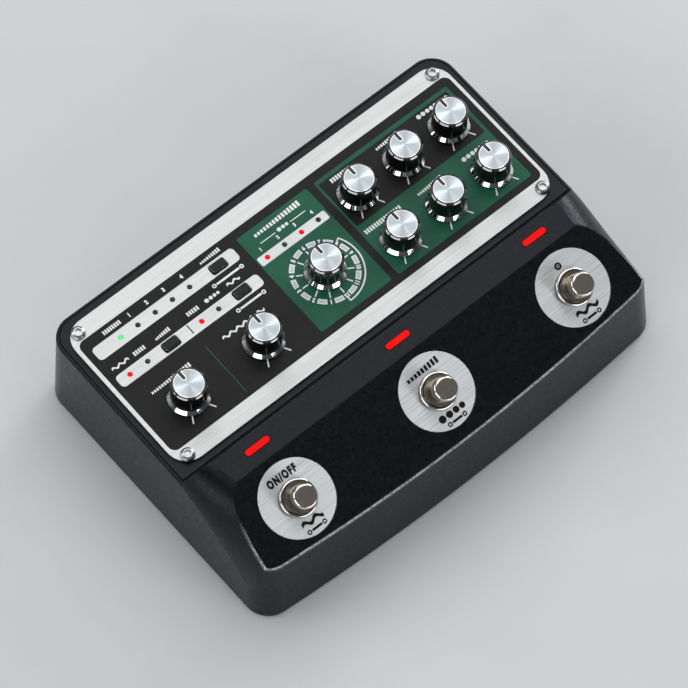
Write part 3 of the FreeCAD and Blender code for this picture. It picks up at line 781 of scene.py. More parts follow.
class Finish(Enum):
    """Every finish on the pedal, with the class that makes it."""

    # near-black coat with a coarse grain that glints, and a painted highlight along the front rim
    CASE = PowderCoat("polyester_powder_coat", "#030404", "#0d0f11", 0.85, 0.11, 0.30, 0.28, worn="#bcc4cc")
    # a finer, smoother coat that looks a shade lighter than the case
    DECK = PowderCoat("satin_powder_coat", "#08090a", "#101214", 0.45, 0.025, 0.40, 0.33)
    # satin sheet with long streaks; reflections stretch across them
    PANEL = BrushedPlate("brushed_aluminium", "#cdd1d0", "#d9dcdb", (0.0, 0.99919, 0.04013))
    DISC = BrushedPlate("brushed_stainless_steel", "#b2b5b8", "#d8dadc", (0.0, 0.8945, 0.4470),
                        0.24, 24.0, 0.46, 0.92, 0.0005)
    BASE = BrushedPlate("rolled_steel_sheet", "#8f9090", "#b4b5b4", (0.0, 1.0, 0.0), 0.6, 60.0, 0.42, 0.30)
    # fine rings that fan the light out in bright and dim sectors
    CAP = SpunCap("spun_aluminium", "#d8e2e8", "#e6eff4", 0.50, 0.96)
    # polished plate: sharp reflections, blue-white for chromium and warmer for nickel
    RING = PlatedMetal("chromium_plate", "#dde1e4", "#eff1f3", 0.05, 0.0)
    RIM = PlatedMetal("polished_aluminium", "#e9edf0", "#f6f8fa", 0.14, 0.0)
    PLUNGER = PlatedMetal("bright_nickel_plate", "#dad2c5", "#e8e1d5", 0.09, 0.0)
    COLLAR = PlatedMetal("polished_nickel_plate", "#d3d0cb", "#e6e4e0", 0.07, 0.0)
    # duller metal: the thread's ridges or the soft edges of a screw catch the light
    NECK = PlatedMetal("nickel_plated_thread", "#9d9588", "#b6aea1", 0.20, 0.0, 0.75)
    SCREW = PlatedMetal("stainless_steel", "#b8bcbf", "#d8dbdd", 0.24, 0.18)
    ZINC = PlatedMetal("zinc_plated_steel", "#8d9094", "#b3b6b9", 0.34, 0.15)
    SHAFT = PlatedMetal("turned_brass_nickel", "#a9adb1", "#c6cacd", 0.28, 0.1)
    # black mouldings, from glossy resin to dull rubber
    KNOB = Moulding("phenolic_resin", "#060607", "#0b0b0d", 0.15, 0.9, 0.001, 1.56, 0.0)
    CROWN = Moulding("polished_resin_edge", "#050506", "#09090b", 0.10, 0.9, 0.001, 2.6, 0.0)
    SLOT = Moulding("matt_black_resin", "#060607", "#0c0c0e", 0.5, 0.6, 0.003, 1.38, 0.0)
    KEY = Moulding("abs_key_plastic", "#08090a", "#0f1012", 0.28, 0.4, 0.002, 1.36)
    JACK = Moulding("nylon_socket_plastic", "#101113", "#1b1c1f", 0.46, 0.4, 0.006, 1.53)
    RUBBER = Moulding("moulded_rubber", "#101010", "#1d1d1d", 0.72, 0.8, 0.02, 1.51)
    # glossy green with paler tracks under it
    BOARD = BoardLaminate("solder_mask_on_laminate", "#12402a", "#1f6b40")
    # opaque satin films that hide the metal's streaks
    INK_BLACK = ScreenInk("black_enamel_ink", "#070808", "#0e0f10", 0.42, 0.25)
    INK_GREEN = ScreenInk("green_enamel_ink", "#0a5440", "#115f46", 0.42, 0.28)
    INK_WHITE = ScreenInk("white_enamel_ink", "#e9ecee", "#f9fbfc", 0.46)
    INK_PALE = ScreenInk("pale_grey_enamel_ink", "#c2cfd5", "#d3dfe4", 0.46)
    INK_DARK = ScreenInk("black_letter_ink", "#060607", "#0e0e0f", 0.38, 0.25)
    # lamps that glow in one flat colour, and a dark one that only shines
    LAMP_RED = LampLens("lit_red_acrylic", "#ff0000", "#ff100c", 1.0)
    LAMP_GREEN = LampLens("lit_green_acrylic", "#3dff6c", "#7dffa0", 1.0, "#04280f")
    LAMP_DARK = LampLens("smoked_acrylic", "#2c3034", "#4a4f54")
    LENS = LampLens("lit_red_diffuser", "#ee0000", "#fb0000", 1.0, "#1c0203", 48.5)


class Palette:
    """Makes each finish once and hands it out."""

    def __init__(self) -> None:
        """Starts with no materials."""
        self.made: dict[Finish, bpy.types.Material] = {}

    def get(self, *finishes: Finish) -> list[bpy.types.Material]:
        """Hands out the materials of some finishes.

        Args:
            finishes: the finishes, in the order of their slots.

        Returns:
            The material of each, made on first use.
        """
        for finish in finishes:
            if finish not in self.made:
                self.made[finish] = finish.value.build()
        return [self.made[finish] for finish in finishes]


# Carried-over nodes

@dataclass
class CarriedNodes:
    """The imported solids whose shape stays, each with the finish of the real piece."""

    palette: Palette
    nodes: tuple[tuple[Finish, str], ...] = (
        (Finish.CASE, "top_case"),
        (Finish.DECK, "deck_panel"),
        (Finish.PANEL, "control_panel"),
        (Finish.DISC, "footswitch_plates"),
        (Finish.BASE, "base_plate"),
        (Finish.SCREW, "panel_screws jack_nuts"),
        (Finish.ZINC, "base_screws board_screws panel_nuts potentiometers mode_switch usb_socket"),
        (Finish.NECK, "footswitch_housings"),
        (Finish.RUBBER, "rubber_feet"),
        (Finish.KEY, "tact_switches board_parts"),
        (Finish.JACK, "phone_jacks mini_jacks dc_inlet"),
        (Finish.BOARD, "panel_board main_board"),
        (Finish.LAMP_RED, "led_red"),
        (Finish.LAMP_GREEN, "led_green"),
        (Finish.LAMP_DARK, "led_unlit"),
        (Finish.LENS, "status_lenses"),
    )

    def dress(self) -> int:
        """Gives every carried-over solid its finish.

        Returns:
            How many solids were dressed.
        """
        chosen = [(finish, node) for finish, names in self.nodes for node in names.split()]
        chosen += [(Finish.SHAFT, node) for node in frame["nodes"] if node.startswith("shaft_")]
        for finish, node in chosen:
            for held in frame["nodes"][node].material_slots:
                held.material = self.palette.get(finish)[0]
        return len(chosen)


# Printed panel

class Layer(Enum):
    """Ink layers of the control panel from the metal up, with the height and the ink of each."""

    FIELD = (0.03, Finish.INK_BLACK)
    COLOUR = (0.05, Finish.INK_GREEN)
    MARK = (0.07, Finish.INK_WHITE)
    FILL = (0.085, Finish.INK_PALE)


class Sign(Enum):
    """Plain signs that stand where words would be."""

    RING = "ring"
    DOT = "dot"
    BARS = "bars"
    TICKS = "ticks"
    BEADS = "beads"
    WAVE = "wave"
    HOLD = "hold"


@dataclass
class Ink:
    """One layer of ink on a shape, and the signs that can be printed in it.

    The shares of a sign are against its height, a bar's against the pitch and a bead's pitch against
    the bead.
    """

    shape: Shape
    height: float
    slot: int = 0
    bar_pitch: float = 0.6
    bar_share: float = 0.68
    bead_pitch: float = 1.15
    bead_loss: float = 0.3
    bead_least: float = 0.5
    wave_thickness: float = 0.48
    wave_length: float = 1.7
    ring_hole: float = 0.22
    hold_gap: float = 2.3
    hold_thickness: float = 0.5

    def area(self, outline: Sequence[Point], holes: Iterable[Sequence[Point]] = ()) -> None:
        """Prints one outline."""
        self.shape.film(outline, self.height, holes, self.slot)

    def figures(self, text: str, centre: Point, tall: float, **style: float) -> None:
        """Prints plain figures, with the further values that Shape.digits takes."""
        self.shape.digits(text, centre, tall, self.height, finish=self.slot, **style)

    def row(self, centre: Point, size: float, length: float, least: float) -> None:
        """Draws a row of upright bars.

        Args:
            centre: middle of the row.
            size: height of the tallest bar.
            length: length of the row.
            least: height of the first bar against the last.
        """
        count = max(3, round(length / (size * self.bar_pitch)))
        for i in range(count):
            tall = size * (least + (1.0 - least) * i / (count - 1))
            across = centre[0] - length / 2 + (i + 0.5) * length / count
            self.area(bar((across, centre[1] - (size - tall) / 2), length / count * self.bar_share, tall))

    def beads(self, centre: Point, size: float, length: float) -> None:
        """Draws a row of rounds that shrink towards the right.

        Args:
            centre: middle of the row.
            size: width of the first round.
            length: length of the row.
        """
        across, end, wide = centre[0] - length / 2, centre[0] + length / 2, size
        while across < end - 0.3:
            self.area(circle(wide / 2, 20, (across + wide / 2, centre[1])))
            across += wide * self.bead_pitch
            wide = max(size * self.bead_least, wide * (1.0 - self.bead_loss * size / length))

    def wave(self, centre: Point, size: float, length: float) -> None:
        """Draws a thick wavy line.

        Args:
            centre: middle of the line.
            size: its height.
            length: its length.
        """
        thick = size * self.wave_thickness
        swing = (size - thick) / 2
        count = max(16, round(length * 6))
        turns = [2 * math.pi * length / (size * self.wave_length) * i / count for i in range(count + 1)]
        line = [(centre[0] - length / 2 + length * i / count, centre[1] + swing * math.sin(t))
                for i, t in enumerate(turns)]
        self.area([(x, y - thick / 2) for x, y in line] + [(x, y + thick / 2) for x, y in reversed(line)])

    def draw(self, sign: Sign, centre: Point, size: float, length: float = 0.0) -> None:
        """Draws one sign.

        Args:
            sign: which sign.
            centre: its middle.
            size: its height.
            length: its length, for the signs that are long.
        """
        if sign is Sign.RING:
            self.area(circle(size / 2, 32, centre), [circle(size * self.ring_hole, 32, centre)])
        elif sign is Sign.DOT:
            self.area(circle(size / 2, 32, centre))
        elif sign is Sign.BARS:
            self.row(centre, size, length, 0.5)
        elif sign is Sign.TICKS:
            self.row(centre, size, length, 1.0)
        elif sign is Sign.BEADS:
            self.beads(centre, size, length)
        elif sign is Sign.WAVE:
            self.wave(centre, size, length)
        elif sign is Sign.HOLD:
            # a bar with a ring at each end
            self.area(bar(centre, length - size * self.hold_gap, size * self.hold_thickness))
            for side in (-1, 1):
                self.draw(Sign.RING, (centre[0] + side * (length - size) / 2, centre[1]), size)


# left, right, near and far side of a printed box, and its corner radius
Box = tuple[float, float, float, float, float]


@dataclass
class PrintedPanel:
    """The ink on the control panel: dark field with bare strips, green boxes, figures and plain signs."""

    palette: Palette
    field_box: Box = (-88.6, 88.9, -27.7, 27.75, 3.0)
    strips: tuple[Box, ...] = (
        (-85.8, -19.8, 17.0, 23.0, 1.7), (-86.2, -19.6, 3.5, 9.0, 1.7), (-15.9, 16.3, 9.2, 13.2, 0.7))
    mode_box: Box = (-16.5, 17.2, -24.7, 24.1, 1.0)
    tone_box: Box = (20.5, 85.7, -24.7, 24.0, 1.0)
    tone_field: Box = (21.5, 84.3, 0.0, 22.3, 0.7)
    # middle, width and height of the line between the left knobs and of the one in the near strip
    knob_line: tuple[Point, float, float] = ((-52.85, -13.95), 0.35, 23.1)
    strip_line: tuple[Point, float, float] = ((-52.7, 6.55), 0.45, 4.3)
    letter: float = 1.9
    bushing_hole: float = 3.7
    tick: Point = (2.6, 0.54)
    pots: tuple[Point, ...] = (
        (-70.4, -14.1), (-35.1, -14.0), (30.7, 10.45), (53.1, 10.45), (75.4, 10.45),
        (30.7, -13.85), (53.1, -13.85), (75.4, -13.85))
    pot_tick_radius: float = 9.35
    pot_tick_angles: Point = (-60.0, -120.0)
    # sign of each pot, from where to where it reaches, and how far all stand from the pots
    knob_signs: tuple[tuple[Sign, float, float], ...] = (
        (Sign.BARS, -79.9, -61.5), (Sign.WAVE, -46.0, -26.5), (Sign.TICKS, 25.9, 35.5),
        (Sign.BARS, 47.6, 58.8), (Sign.BEADS, 68.2, 83.4), (Sign.TICKS, 21.9, 39.3),
        (Sign.BARS, 47.2, 59.4), (Sign.BEADS, 69.5, 81.8))
    knob_sign_rise: float = 10.0
    # sign, middle and length; their height is this share of a letter's
    key_signs: tuple[tuple[Sign, float, float, float], ...] = (
        (Sign.TICKS, -74.3, 25.2, 8.2), (Sign.BARS, -28.4, 25.2, 9.6), (Sign.HOLD, -28.3, 14.5, 14.6),
        (Sign.WAVE, -81.1, 11.7, 7.6), (Sign.TICKS, -72.4, 11.7, 5.4), (Sign.BARS, -61.7, 11.7, 7.0),
        (Sign.TICKS, -47.4, 11.7, 5.6), (Sign.BEADS, -38.6, 11.7, 6.0), (Sign.WAVE, -28.2, 11.7, 5.8),
        (Sign.HOLD, -28.3, 1.3, 13.8), (Sign.BEADS, 0.1, 17.4, 5.0))
    key_sign_share: float = 0.92
    # places across, place up the panel and height against a letter's
    lamp_figures: tuple[tuple[tuple[float, ...], float, float], ...] = (
        ((-66.2, -58.1, -50.1, -41.7), 25.2, 1.0), ((-12.1, -3.9, 4.1, 12.3), 15.3, 0.9))
    # the selector's middle, the radii of its marks and their spans in degrees; a block's span
    # counts from its figure, and the bracket's ends have a radius, a length and a width
    dial: Point = (0.3, -6.75)
    dial_figures: float = 12.45
    dial_ticks: float = 9.55
    blocks: tuple[float, float, float, float] = (11.25, 13.3, 6.6, 23.4)
    block_fills: tuple[float, float, float, float] = (11.65, 12.9, 8.4, 21.6)
    bracket: tuple[float, float, float, float] = (14.45, 15.05, -91.0, 31.0)
    bracket_end: Triple = (14.2, 1.6, 0.56)
    dial_title: tuple[Sign, Point, float, float] = (Sign.BARS, (0.4, 21.4), 2.4, 22.0)
    # lines beside the small sign over the selector's lamps
    title_lines: tuple[Point, ...] = ((-10.5, -3.5), (3.7, 10.9))
    title_line_place: float = 17.2
    title_line_width: float = 0.36

    def knob_holes(self, box: Sequence[float]) -> list[list[Point]]:
        """Bare rounds for the bushings inside a printed box."""
        return [circle(self.bushing_hole, 40, (x, y)) for x, y in [*self.pots, self.dial]
                if box[0] < x < box[1] and box[2] < y < box[3]]

    def fields(self, dark: Ink, green: Ink) -> None:
        """Prints the dark field and the green boxes.

        Args:
            dark: ink of the field.
            green: ink of the boxes.
        """
        strips = [rounded(*strip) for strip in self.strips]
        dark.area(rounded(*self.field_box), strips + self.knob_holes(self.field_box))
        green.area(rounded(*self.mode_box), strips[2:] + self.knob_holes(self.mode_box))
        near_row = (*self.tone_box[:3], self.tone_field[2])
        green.area(rounded(*self.tone_box), [rounded(*self.tone_field)] + self.knob_holes(near_row))
        green.area(bar(*self.knob_line))
        dark.area(bar(*self.strip_line))

    def dial_marks(self, white: Ink, pale: Ink) -> None:
        """Prints the twelve figures, their ticks, the blocks between them and the bracket.

        Args:
            white: ink of the marks.
            pale: ink inside the blocks.
        """
        for step in range(12):
            angle = -90.0 - 30.0 * step
            white.figures(str(step or 12), polar(self.dial, self.dial_figures, angle), self.letter,
                          spin=angle - 90.0)
            white.area(bar(polar(self.dial, self.dial_ticks, angle), *self.tick, angle))
            for ink, (inner, outer, start, end) in ((white, self.blocks), (pale, self.block_fills)):
                ink.area(arc_band(inner, outer, angle + start, angle + end, 8, self.dial))
        white.area(arc_band(*self.bracket, 40, self.dial))
        radius, length, width = self.bracket_end
        for angle in self.bracket[2:]:
            white.area(bar(polar(self.dial, radius, angle), length, width, angle))

    def labels(self, white: Ink) -> None:
        """Prints the figures and signs beside the lamps, keys and knobs.

        Args:
            white: their ink.
        """
        for places, up, share in self.lamp_figures:
            for number, across in enumerate(places, 1):
                white.figures(str(number), (across, up), self.letter * share)
        for sign, across, up, length in self.key_signs:
            white.draw(sign, (across, up), self.letter * self.key_sign_share, length)
        for start, end in self.title_lines:
            white.area(bar(((start + end) / 2, self.title_line_place), end - start, self.title_line_width))
        white.draw(*self.dial_title)
        for pot, (sign, start, end) in zip(self.pots, self.knob_signs):
            white.draw(sign, ((start + end) / 2, pot[1] + self.knob_sign_rise), self.letter, end - start)
            for angle in self.pot_tick_angles:
                white.area(bar(polar(pot, self.pot_tick_radius, angle), *self.tick, angle))

    def build(self) -> bpy.types.Object:
        """Builds the print as one piece on the panel.

        Returns:
            The new object.
        """
        shape = Shape()
        dark, green, white, pale = [Ink(shape, layer.value[0], slot) for slot, layer in enumerate(Layer)]
        self.fields(dark, green)
        self.dial_marks(white, pale)
        self.labels(white)
        mesh = shape.data("panel_print", self.palette.get(*[layer.value[1] for layer in Layer]))
        return place_piece("panel_print", mesh, PANEL.matrix(), "chassis")


# Knobs

@dataclass
class Knob:
    """One control knob: glossy black body, spun cap with a pointer slot, polished ring round its foot."""

    palette: Palette
    height: float = 11.88
    foot: float = 0.3
    foot_radius: float = 6.75
    foot_chamfer: float = 0.2
    top_radius: float = 6.65
    cap_radius: float = 5.69
    cap_gap: float = 0.03
    pointer: float = 1.2
    pointer_inner: float = 2.2
    pin_gap: float = 0.05
    skirt_radius: float = 8.0
    skirt_rim: float = 1.0
    skirt_height: float = 2.25
    skirt_gap: float = 0.05
    skirt_chamfer: float = 0.12
    steps: int = 128
    # each step of an outline has its distance out from a wall, or in from the cap's or the pin's
    # edge, and its height from the knob's top or, for the skirt, from the skirt's
    chamfer: tuple[Point, ...] = ((0.0, -0.86), (-0.03, -0.79), (-0.48, -0.33))
    lip: Point = (-0.08, -0.3)
    lip_bevel: Point = (0.03, 0.05)
    rim_bevel: Point = (0.03, 0.08)
    pin_steps: tuple[Point, ...] = ((0.0, -0.75), (0.0, -0.68), (0.1, -0.62))
    cap_side: tuple[Point, ...] = ((0.0, -0.7), (0.0, -0.2))
    cap_edge: tuple[Point, ...] = ((0.0, -0.2), (0.04, -0.04), (0.08, 0.0), (0.27, 0.0))
    cap_face: tuple[Point, ...] = ((0.27, 0.0), (0.5, 0.0))
    skirt_edge: tuple[Point, ...] = ((0.14, -0.1), (0.07, -0.02), (0.0, -0.04))

    def slotted(self, inset: float, rise: float) -> list[Vector]:
        """Outline of the cap, which is round with a pointer slot cut in from the far side.

        Args:
            inset: distance inside the true edge.
            rise: height of the outline from the knob's top.

        Returns:
            The outline, counter-clockwise.
        """
        radius, half = self.cap_radius - inset, self.pointer / 2 + inset
        gap = math.degrees(math.asin(half / radius))
        points = arc(radius, 90.0 + gap, 450.0 - gap, 120)
        points += arc(half, 0.0, -180.0, 12, (0.0, self.pointer_inner + self.pointer / 2))
        return [Vector((x, y, self.height + rise)) for x, y in points]

    def pin(self, inset: float, rise: float) -> list[Vector]:
        """Outline of the black bar that fills the pointer slot.

        Args:
            inset: distance inside the slot's wall.
            rise: height of the outline from the knob's top.

        Returns:
            The outline, counter-clockwise.
        """
        half, outer = self.pointer / 2 - inset, self.cap_radius - self.pin_gap
        points = arc(half, 180.0, 360.0, 12, (0.0, self.pointer_inner + self.pointer / 2))
        return [Vector((x, y, self.height + rise)) for x, y in [*points, (half, outer), (-half, outer)]]

    def body_mesh(self) -> bpy.types.Mesh:
        """Makes the black body with its chamfered crown and the pointer bar.

        Returns:
            The mesh.
        """
        foot, base, wall = self.foot_radius, self.foot, self.cap_radius + self.cap_gap
        crown = [(self.top_radius + out, self.height + rise) for out, rise in self.chamfer]
        lip, level = self.height + self.lip[1], self.height + self.pin_steps[0][1]
        shape = Shape()
        shape.turned([(foot - self.foot_chamfer, base), (foot, base + self.foot_chamfer),
                      (foot, base + self.skirt_height), crown[0]], self.steps)
        shape.turned(crown, self.steps, finish=1, ends=False)
        shape.turned([crown[-1], (crown[-1][0] + self.lip[0], lip), (wall + self.lip_bevel[0], lip),
                      (wall, lip - self.lip_bevel[1]), (wall, level)], self.steps)
        shape.shell([self.pin(*step) for step in self.pin_steps], finish=2)
        shape.weld()
        finishes = self.palette.get(Finish.KNOB, Finish.CROWN, Finish.SLOT)
        return shape.data("knob_body", finishes, crease=14.0)

    def trim_mesh(self) -> bpy.types.Mesh:
        """Makes the spun cap and the polished ring at the foot.

        Returns:
            The mesh, with the cap's face, its polished edge and the ring in that order of slots.
        """
        shape = Shape()
        shape.shell([self.slotted(*step) for step in self.cap_side], high=False, finish=1)
        shape.shell([self.slotted(*step) for step in self.cap_edge], low=False, high=False, finish=1)
        shape.shell([self.slotted(*step) for step in self.cap_face], low=False)
        inner, outer, low = self.foot_radius + self.skirt_gap, self.skirt_radius, self.foot
        rim, cut = low + self.skirt_rim, self.skirt_chamfer
        edge = [(inner + out, low + self.skirt_height + rise) for out, rise in self.skirt_edge]
        shape.turned([(inner, low), (outer - cut, low), (outer, low + cut),
                      (outer, rim - self.rim_bevel[1]), (outer - self.rim_bevel[0], rim), *edge],
                     self.steps, finish=2, loop=True)
        shape.weld()
        return shape.data("knob_trim", self.palette.get(Finish.CAP, Finish.RIM, Finish.RING), crease=20.0)

    def build(self) -> list[bpy.types.Object]:
        """Puts a knob on every turning joint, with its pointer to the far side.

        Returns:
            The new objects.
        """
        body, trim = self.body_mesh(), self.trim_mesh()
        pieces = []
        for joint in (j for j in frame["joints"] if j["name"].startswith("turn_")):
            name = joint["name"].removeprefix("turn_")
            place = Matrix.Translation(joint["pos_m"]) @ PANEL.lean()
            for piece, mesh, slot, node in (("knob_body", body, "knob_black", "knob"),
                                            ("knob_cap_ring", trim, "knob_metal", "knob_trim")):
                pieces.append(place_piece(f"{piece}_{name}", mesh, place, joint["child"],
                                          [f"{node}_{name}"]))
        return pieces


# Small keys

@dataclass
class Keys:
    """Three small push keys: satin caps with a polished edge, each with its flange and stem."""

    palette: Palette
    places: tuple[tuple[str, float, float], ...] = (
        ("memory", -28.4, 19.9), ("input", -61.8, 6.4), ("tape", -28.4, 6.5))
    half: Point = (3.4, 1.85)
    corner: float = 0.9
    top: float = 1.5
    flange: float = 0.8
    flange_low: float = -4.5
    flange_high: float = -3.5
    stem_radius: float = 1.5
    stem_low: float = -7.9
    # distance inside the cap's side and height from its top, up the polished edge and on the face
    edge: tuple[Point, ...] = ((0.0, -0.58), (0.04, -0.5), (0.36, -0.1))
    face: Point = (0.5, 0.0)

    def outline(self, inset: float, height: float) -> list[Vector]:
        """Outline of the cap, or of the flange where the inset is negative.

        Args:
            inset: distance inside the cap's side.
            height: height of the outline.

        Returns:
            The outline, counter-clockwise.
        """
        wide, deep = self.half[0] - inset, self.half[1] - inset
        corner = self.corner - max(inset, 0.0)
        return [Vector((x, y, height)) for x, y in rounded(-wide, wide, -deep, deep, corner, 6)]

    def mesh(self) -> bpy.types.Mesh:
        """Makes a key with a flat polished edge round its top.

        Returns:
            The mesh.
        """
        low, high = self.flange_low, self.flange_high
        edge = [self.outline(inset, self.top + rise) for inset, rise in self.edge]
        shape = Shape()
        shape.turned([(self.stem_radius, self.stem_low), (self.stem_radius, low)], 32)
        shape.shell([self.outline(-self.flange, low), self.outline(-self.flange, high),
                     self.outline(0.0, high), edge[0]], high=False)
        shape.shell(edge, low=False, high=False, finish=1)
        shape.shell([edge[-1], self.outline(self.face[0], self.top + self.face[1])], low=False)
        shape.weld()
        return shape.data("key", self.palette.get(Finish.KEY, Finish.CROWN), crease=14.0)

    def build(self) -> list[bpy.types.Object]:
        """Puts the three keys in their windows.

        Returns:
            The new objects.
        """
        mesh = self.mesh()
        return [place_piece(f"key_{name}", mesh, PANEL.matrix(x, y), f"key_{name}",
                            [f"button_{name}"]) for name, x, y in self.places]


# Footswitches

@dataclass
class Footswitches:
    """Three footswitches: chamfered plungers, round collars and the print on their plates."""

    palette: Palette
    places: tuple[tuple[str, float], ...] = (("left", -66.03), ("middle", 0.0), ("right", 66.03))
    plunger_radius: float = 4.65
    plunger_top: float = 11.0
    plunger_low: float = -14.6
    plunger_chamfer: float = 0.3
    collar_radius: float = 7.3
    collar_height: float = 2.6
    collar_chamfer: float = 0.1
    collar_inner: float = 6.06
    collar_relief: float = 0.3
    ink_height: float = 0.03
    word_place: float = 9.6
    word_height: float = 3.4
    # steps of the rolled edges: radius from the side and height from the top
    plunger_edge: tuple[Point, ...] = (
        (0.0, -0.75), (-0.06, -0.5), (-0.5, -0.08), (-0.68, 0.0), (-1.2, 0.0))
    collar_edge: tuple[Point, ...] = ((0.0, -0.75), (-0.1, -0.42), (-0.34, -0.13), (-0.62, 0.0))
    # sign, plate by its number, place across from its middle, place up, height and length
    signs: tuple[tuple[Sign, int, float, float, float, float], ...] = (
        (Sign.BARS, 1, 0.0, 9.6, 2.7, 15.0),
        (Sign.RING, 2, 0.0, 9.6, 2.9, 0.0), (Sign.DOT, 2, 0.0, 9.6, 0.8, 0.0),
        (Sign.WAVE, 0, 0.0, -9.4, 3.0, 9.3), (Sign.HOLD, 0, 0.0, -12.5, 1.9, 8.8),
        (Sign.BEADS, 1, 0.4, -9.4, 3.0, 12.6), (Sign.HOLD, 1, 0.4, -12.5, 1.9, 8.8),
        (Sign.WAVE, 2, 0.0, -9.4, 3.0, 10.4), (Sign.HOLD, 2, 0.0, -12.5, 1.9, 8.8))

    def plunger(self) -> bpy.types.Mesh:
        """Makes a plunger with a rolled edge.

        Returns:
            The mesh.
        """
        radius, low, cut = self.plunger_radius, self.plunger_low, self.plunger_chamfer
        edge = [(radius + out, self.plunger_top + rise) for out, rise in self.plunger_edge]
        shape = Shape()
        shape.turned([(radius - cut, low), (radius, low + cut), *edge])
        return shape.data("plunger", self.palette.get(Finish.PLUNGER), crease=40.0)

    def collars(self) -> bpy.types.Object:
        """Makes the three collars as one piece.

        Returns:
            The new object.
        """
        radius, top, cut = self.collar_radius, self.collar_height, self.collar_chamfer
        inner, relief = self.collar_inner, self.collar_relief
        edge = [(radius + out, top + rise) for out, rise in self.collar_edge]
        shape = Shape()
        for _, across in self.places:
            shape.turned([(inner, 0.0), (radius - cut, 0.0), (radius, cut), *edge, (inner + relief, top),
                          (inner, top - relief)], centre=(across, 0.0), loop=True)
        mesh = shape.data("collars", self.palette.get(Finish.COLLAR), crease=40.0)
        return place_piece("footswitch_collars", mesh, TREAD.matrix(), "chassis",
                           ["footswitch_nuts"])

    def plate_print(self) -> bpy.types.Object:
        """Prints ON/OFF and plain signs on the round plates.

        Returns:
            The new object.
        """
        shape = Shape()
        ink = Ink(shape, self.ink_height)
        ink.figures("ON/OFF", (self.places[0][1], self.word_place), self.word_height,
                    squeeze=0.72, spacing=1.3)
        for sign, plate, across, up, size, length in self.signs:
            ink.draw(sign, (self.places[plate][1] + across, up), size, length)
        mesh = shape.data("plate_print", self.palette.get(Finish.INK_DARK))
        return place_piece("plate_print", mesh, TREAD.matrix(), "chassis")

    def build(self) -> list[bpy.types.Object]:
        """Builds the plungers, the collars and the print.

        Returns:
            The new objects.
        """
        plunger = self.plunger()
        pieces = [self.collars(), self.plate_print()]
        for name, across in self.places:
            pieces.append(place_piece(f"plunger_{name}", plunger, TREAD.matrix(across), f"pedal_{name}",
                                      [f"footswitch_{name}"]))
        return pieces


# Light, floor and camera

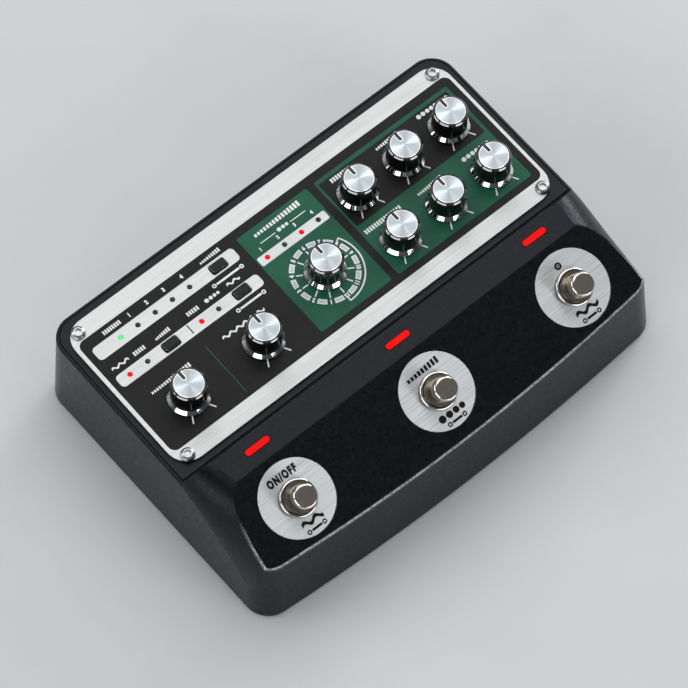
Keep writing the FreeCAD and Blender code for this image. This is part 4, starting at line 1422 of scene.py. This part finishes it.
@dataclass
class Studio:
    """Pale floor, soft lamps and the photograph's viewing angle."""

    camera_place: Triple = (-0.460748, -0.513600, 1.3363145)
    camera_right: Triple = (0.7605844, -0.64916205, 0.01000036)
    camera_up: Triple = (0.57239296, 0.67774875, 0.46154407)
    camera_back: Triple = (-0.30639463, -0.34531908, 0.88706091)
    focal_length: float = 210.51
    sensor_width: float = 36.0
    near_clip: float = 0.05
    far_clip: float = 60.0
    target: Triple = (0.0, 0.0, 0.02)
    lamp_distance: float = 1.5
    # direction from the pedal, level side and other side in metres, and brightness, 1 being white
    lamps: tuple[tuple[str, Triple, float, float, float], ...] = (
        ("overhead_softbox", (0.306, 0.345, 0.887), 2.1, 2.1, 1.26),
        ("left_softbox", (-0.888, -0.29, 0.36), 1.25, 0.6, 3.0),
        ("front_softbox", (0.163, -0.920, 0.36), 0.85, 0.6, 3.8),
        ("rear_softbox", (-0.72, 0.54, 0.43), 1.0, 0.6, 2.6),
        ("right_softbox", (0.90, 0.24, 0.36), 0.6, 0.45, 7.8))
    # the room's light by height: pale near the floor, dark behind the lamps, dim overhead
    room: tuple[tuple[float, Colour], ...] = (
        (0.02, (0.42, 0.43, 0.44, 1.0)), (0.18, grey(0.07)), (0.55, grey(0.07)),
        (0.75, (0.13, 0.13, 0.135, 1.0)))
    floor_radius: float = 9000.0
    floor_shades: tuple[str, str] = ("#d5d7d9", "#d9dbdd")

    def camera(self) -> None:
        """Sets the camera at the photograph's viewing angle."""
        data = bpy.data.cameras.new("photo_camera")
        data.lens, data.sensor_width = self.focal_length, self.sensor_width
        data.clip_start, data.clip_end = self.near_clip, self.far_clip
        camera = add_object("photo_camera", data)
        axes = Matrix((self.camera_right, self.camera_up, self.camera_back)).transposed().to_4x4()
        camera.matrix_world = Matrix.Translation(self.camera_place) @ axes
        bpy.context.scene.camera = camera

    def lamp(self, name: str, direction: Triple, width: float, height: float, brightness: float) -> None:
        """Adds a soft lamp that faces the pedal.

        Args:
            name: name of the lamp.
            direction: direction from the pedal to the lamp.
            width: level side in metres.
            height: other side in metres.
            brightness: brightness of its face, 1 being white.
        """
        data = bpy.data.lights.new(name, "AREA")
        data.shape, data.size, data.size_y = "RECTANGLE", width, height
        data.energy = brightness * math.pi * width * height
        away = Vector(direction).normalized()
        place = Matrix.Translation(Vector(self.target) + away * self.lamp_distance)
        add_object(name, data).matrix_world = place @ away.to_track_quat("Z", "Y").to_matrix().to_4x4()

    def floor(self) -> None:
        """Lays a plain pale floor with a trace of unevenness."""
        surface = Surface("matt_floor_paint", IOR=1.45)
        surface.tint(surface.spots(size=60.0), *self.floor_shades, low=0.3, high=0.7)
        surface.rough(surface.spots(size=8.0), low=0.62, high=0.74)
        surface.relief(surface.spots(size=1.5, detail=3.0), depth=0.02, strength=0.4)
        shape = Shape()
        shape.film(circle(self.floor_radius, 64), 0.0)
        add_object("floor", shape.data("floor", [surface.material]))

    def world(self) -> None:
        """Fills the room with dim light."""
        world = bpy.data.worlds.new("studio")
        bpy.context.scene.world = world
        world.use_nodes = True
        tree = world.node_tree
        ray = add_node(tree, "ShaderNodeTexCoord").outputs["Generated"]
        height = add_node(tree, "ShaderNodeSeparateXYZ", {0: ray}).outputs["Z"]
        ramp = add_node(tree, "ShaderNodeValToRGB", {"Fac": height})
        set_stops(ramp.color_ramp, self.room)
        tree.links.new(ramp.outputs["Color"], tree.nodes["Background"].inputs["Color"])

    def build(self) -> None:
        """Builds floor, room light, lamps and camera."""
        self.floor()
        self.world()
        for lamp in self.lamps:
            self.lamp(*lamp)
        bpy.context.scene.view_settings.view_transform = "Standard"
        self.camera()


def main() -> None:
    logging.basicConfig(level=logging.INFO, format="%(name)s: %(message)s")
    palette = Palette()
    LOG.info("carried-over solids dressed: %d", CarriedNodes(palette).dress())
    LOG.info("panel print: %s", PrintedPanel(palette).build().name)
    for name, part in (("knob", Knob(palette)), ("key", Keys(palette)),
                       ("footswitch", Footswitches(palette))):
        LOG.info("%s pieces: %d", name, len(part.build()))
    Studio().build()
    LOG.info("studio ready")


if __name__ == "__main__":
    main()
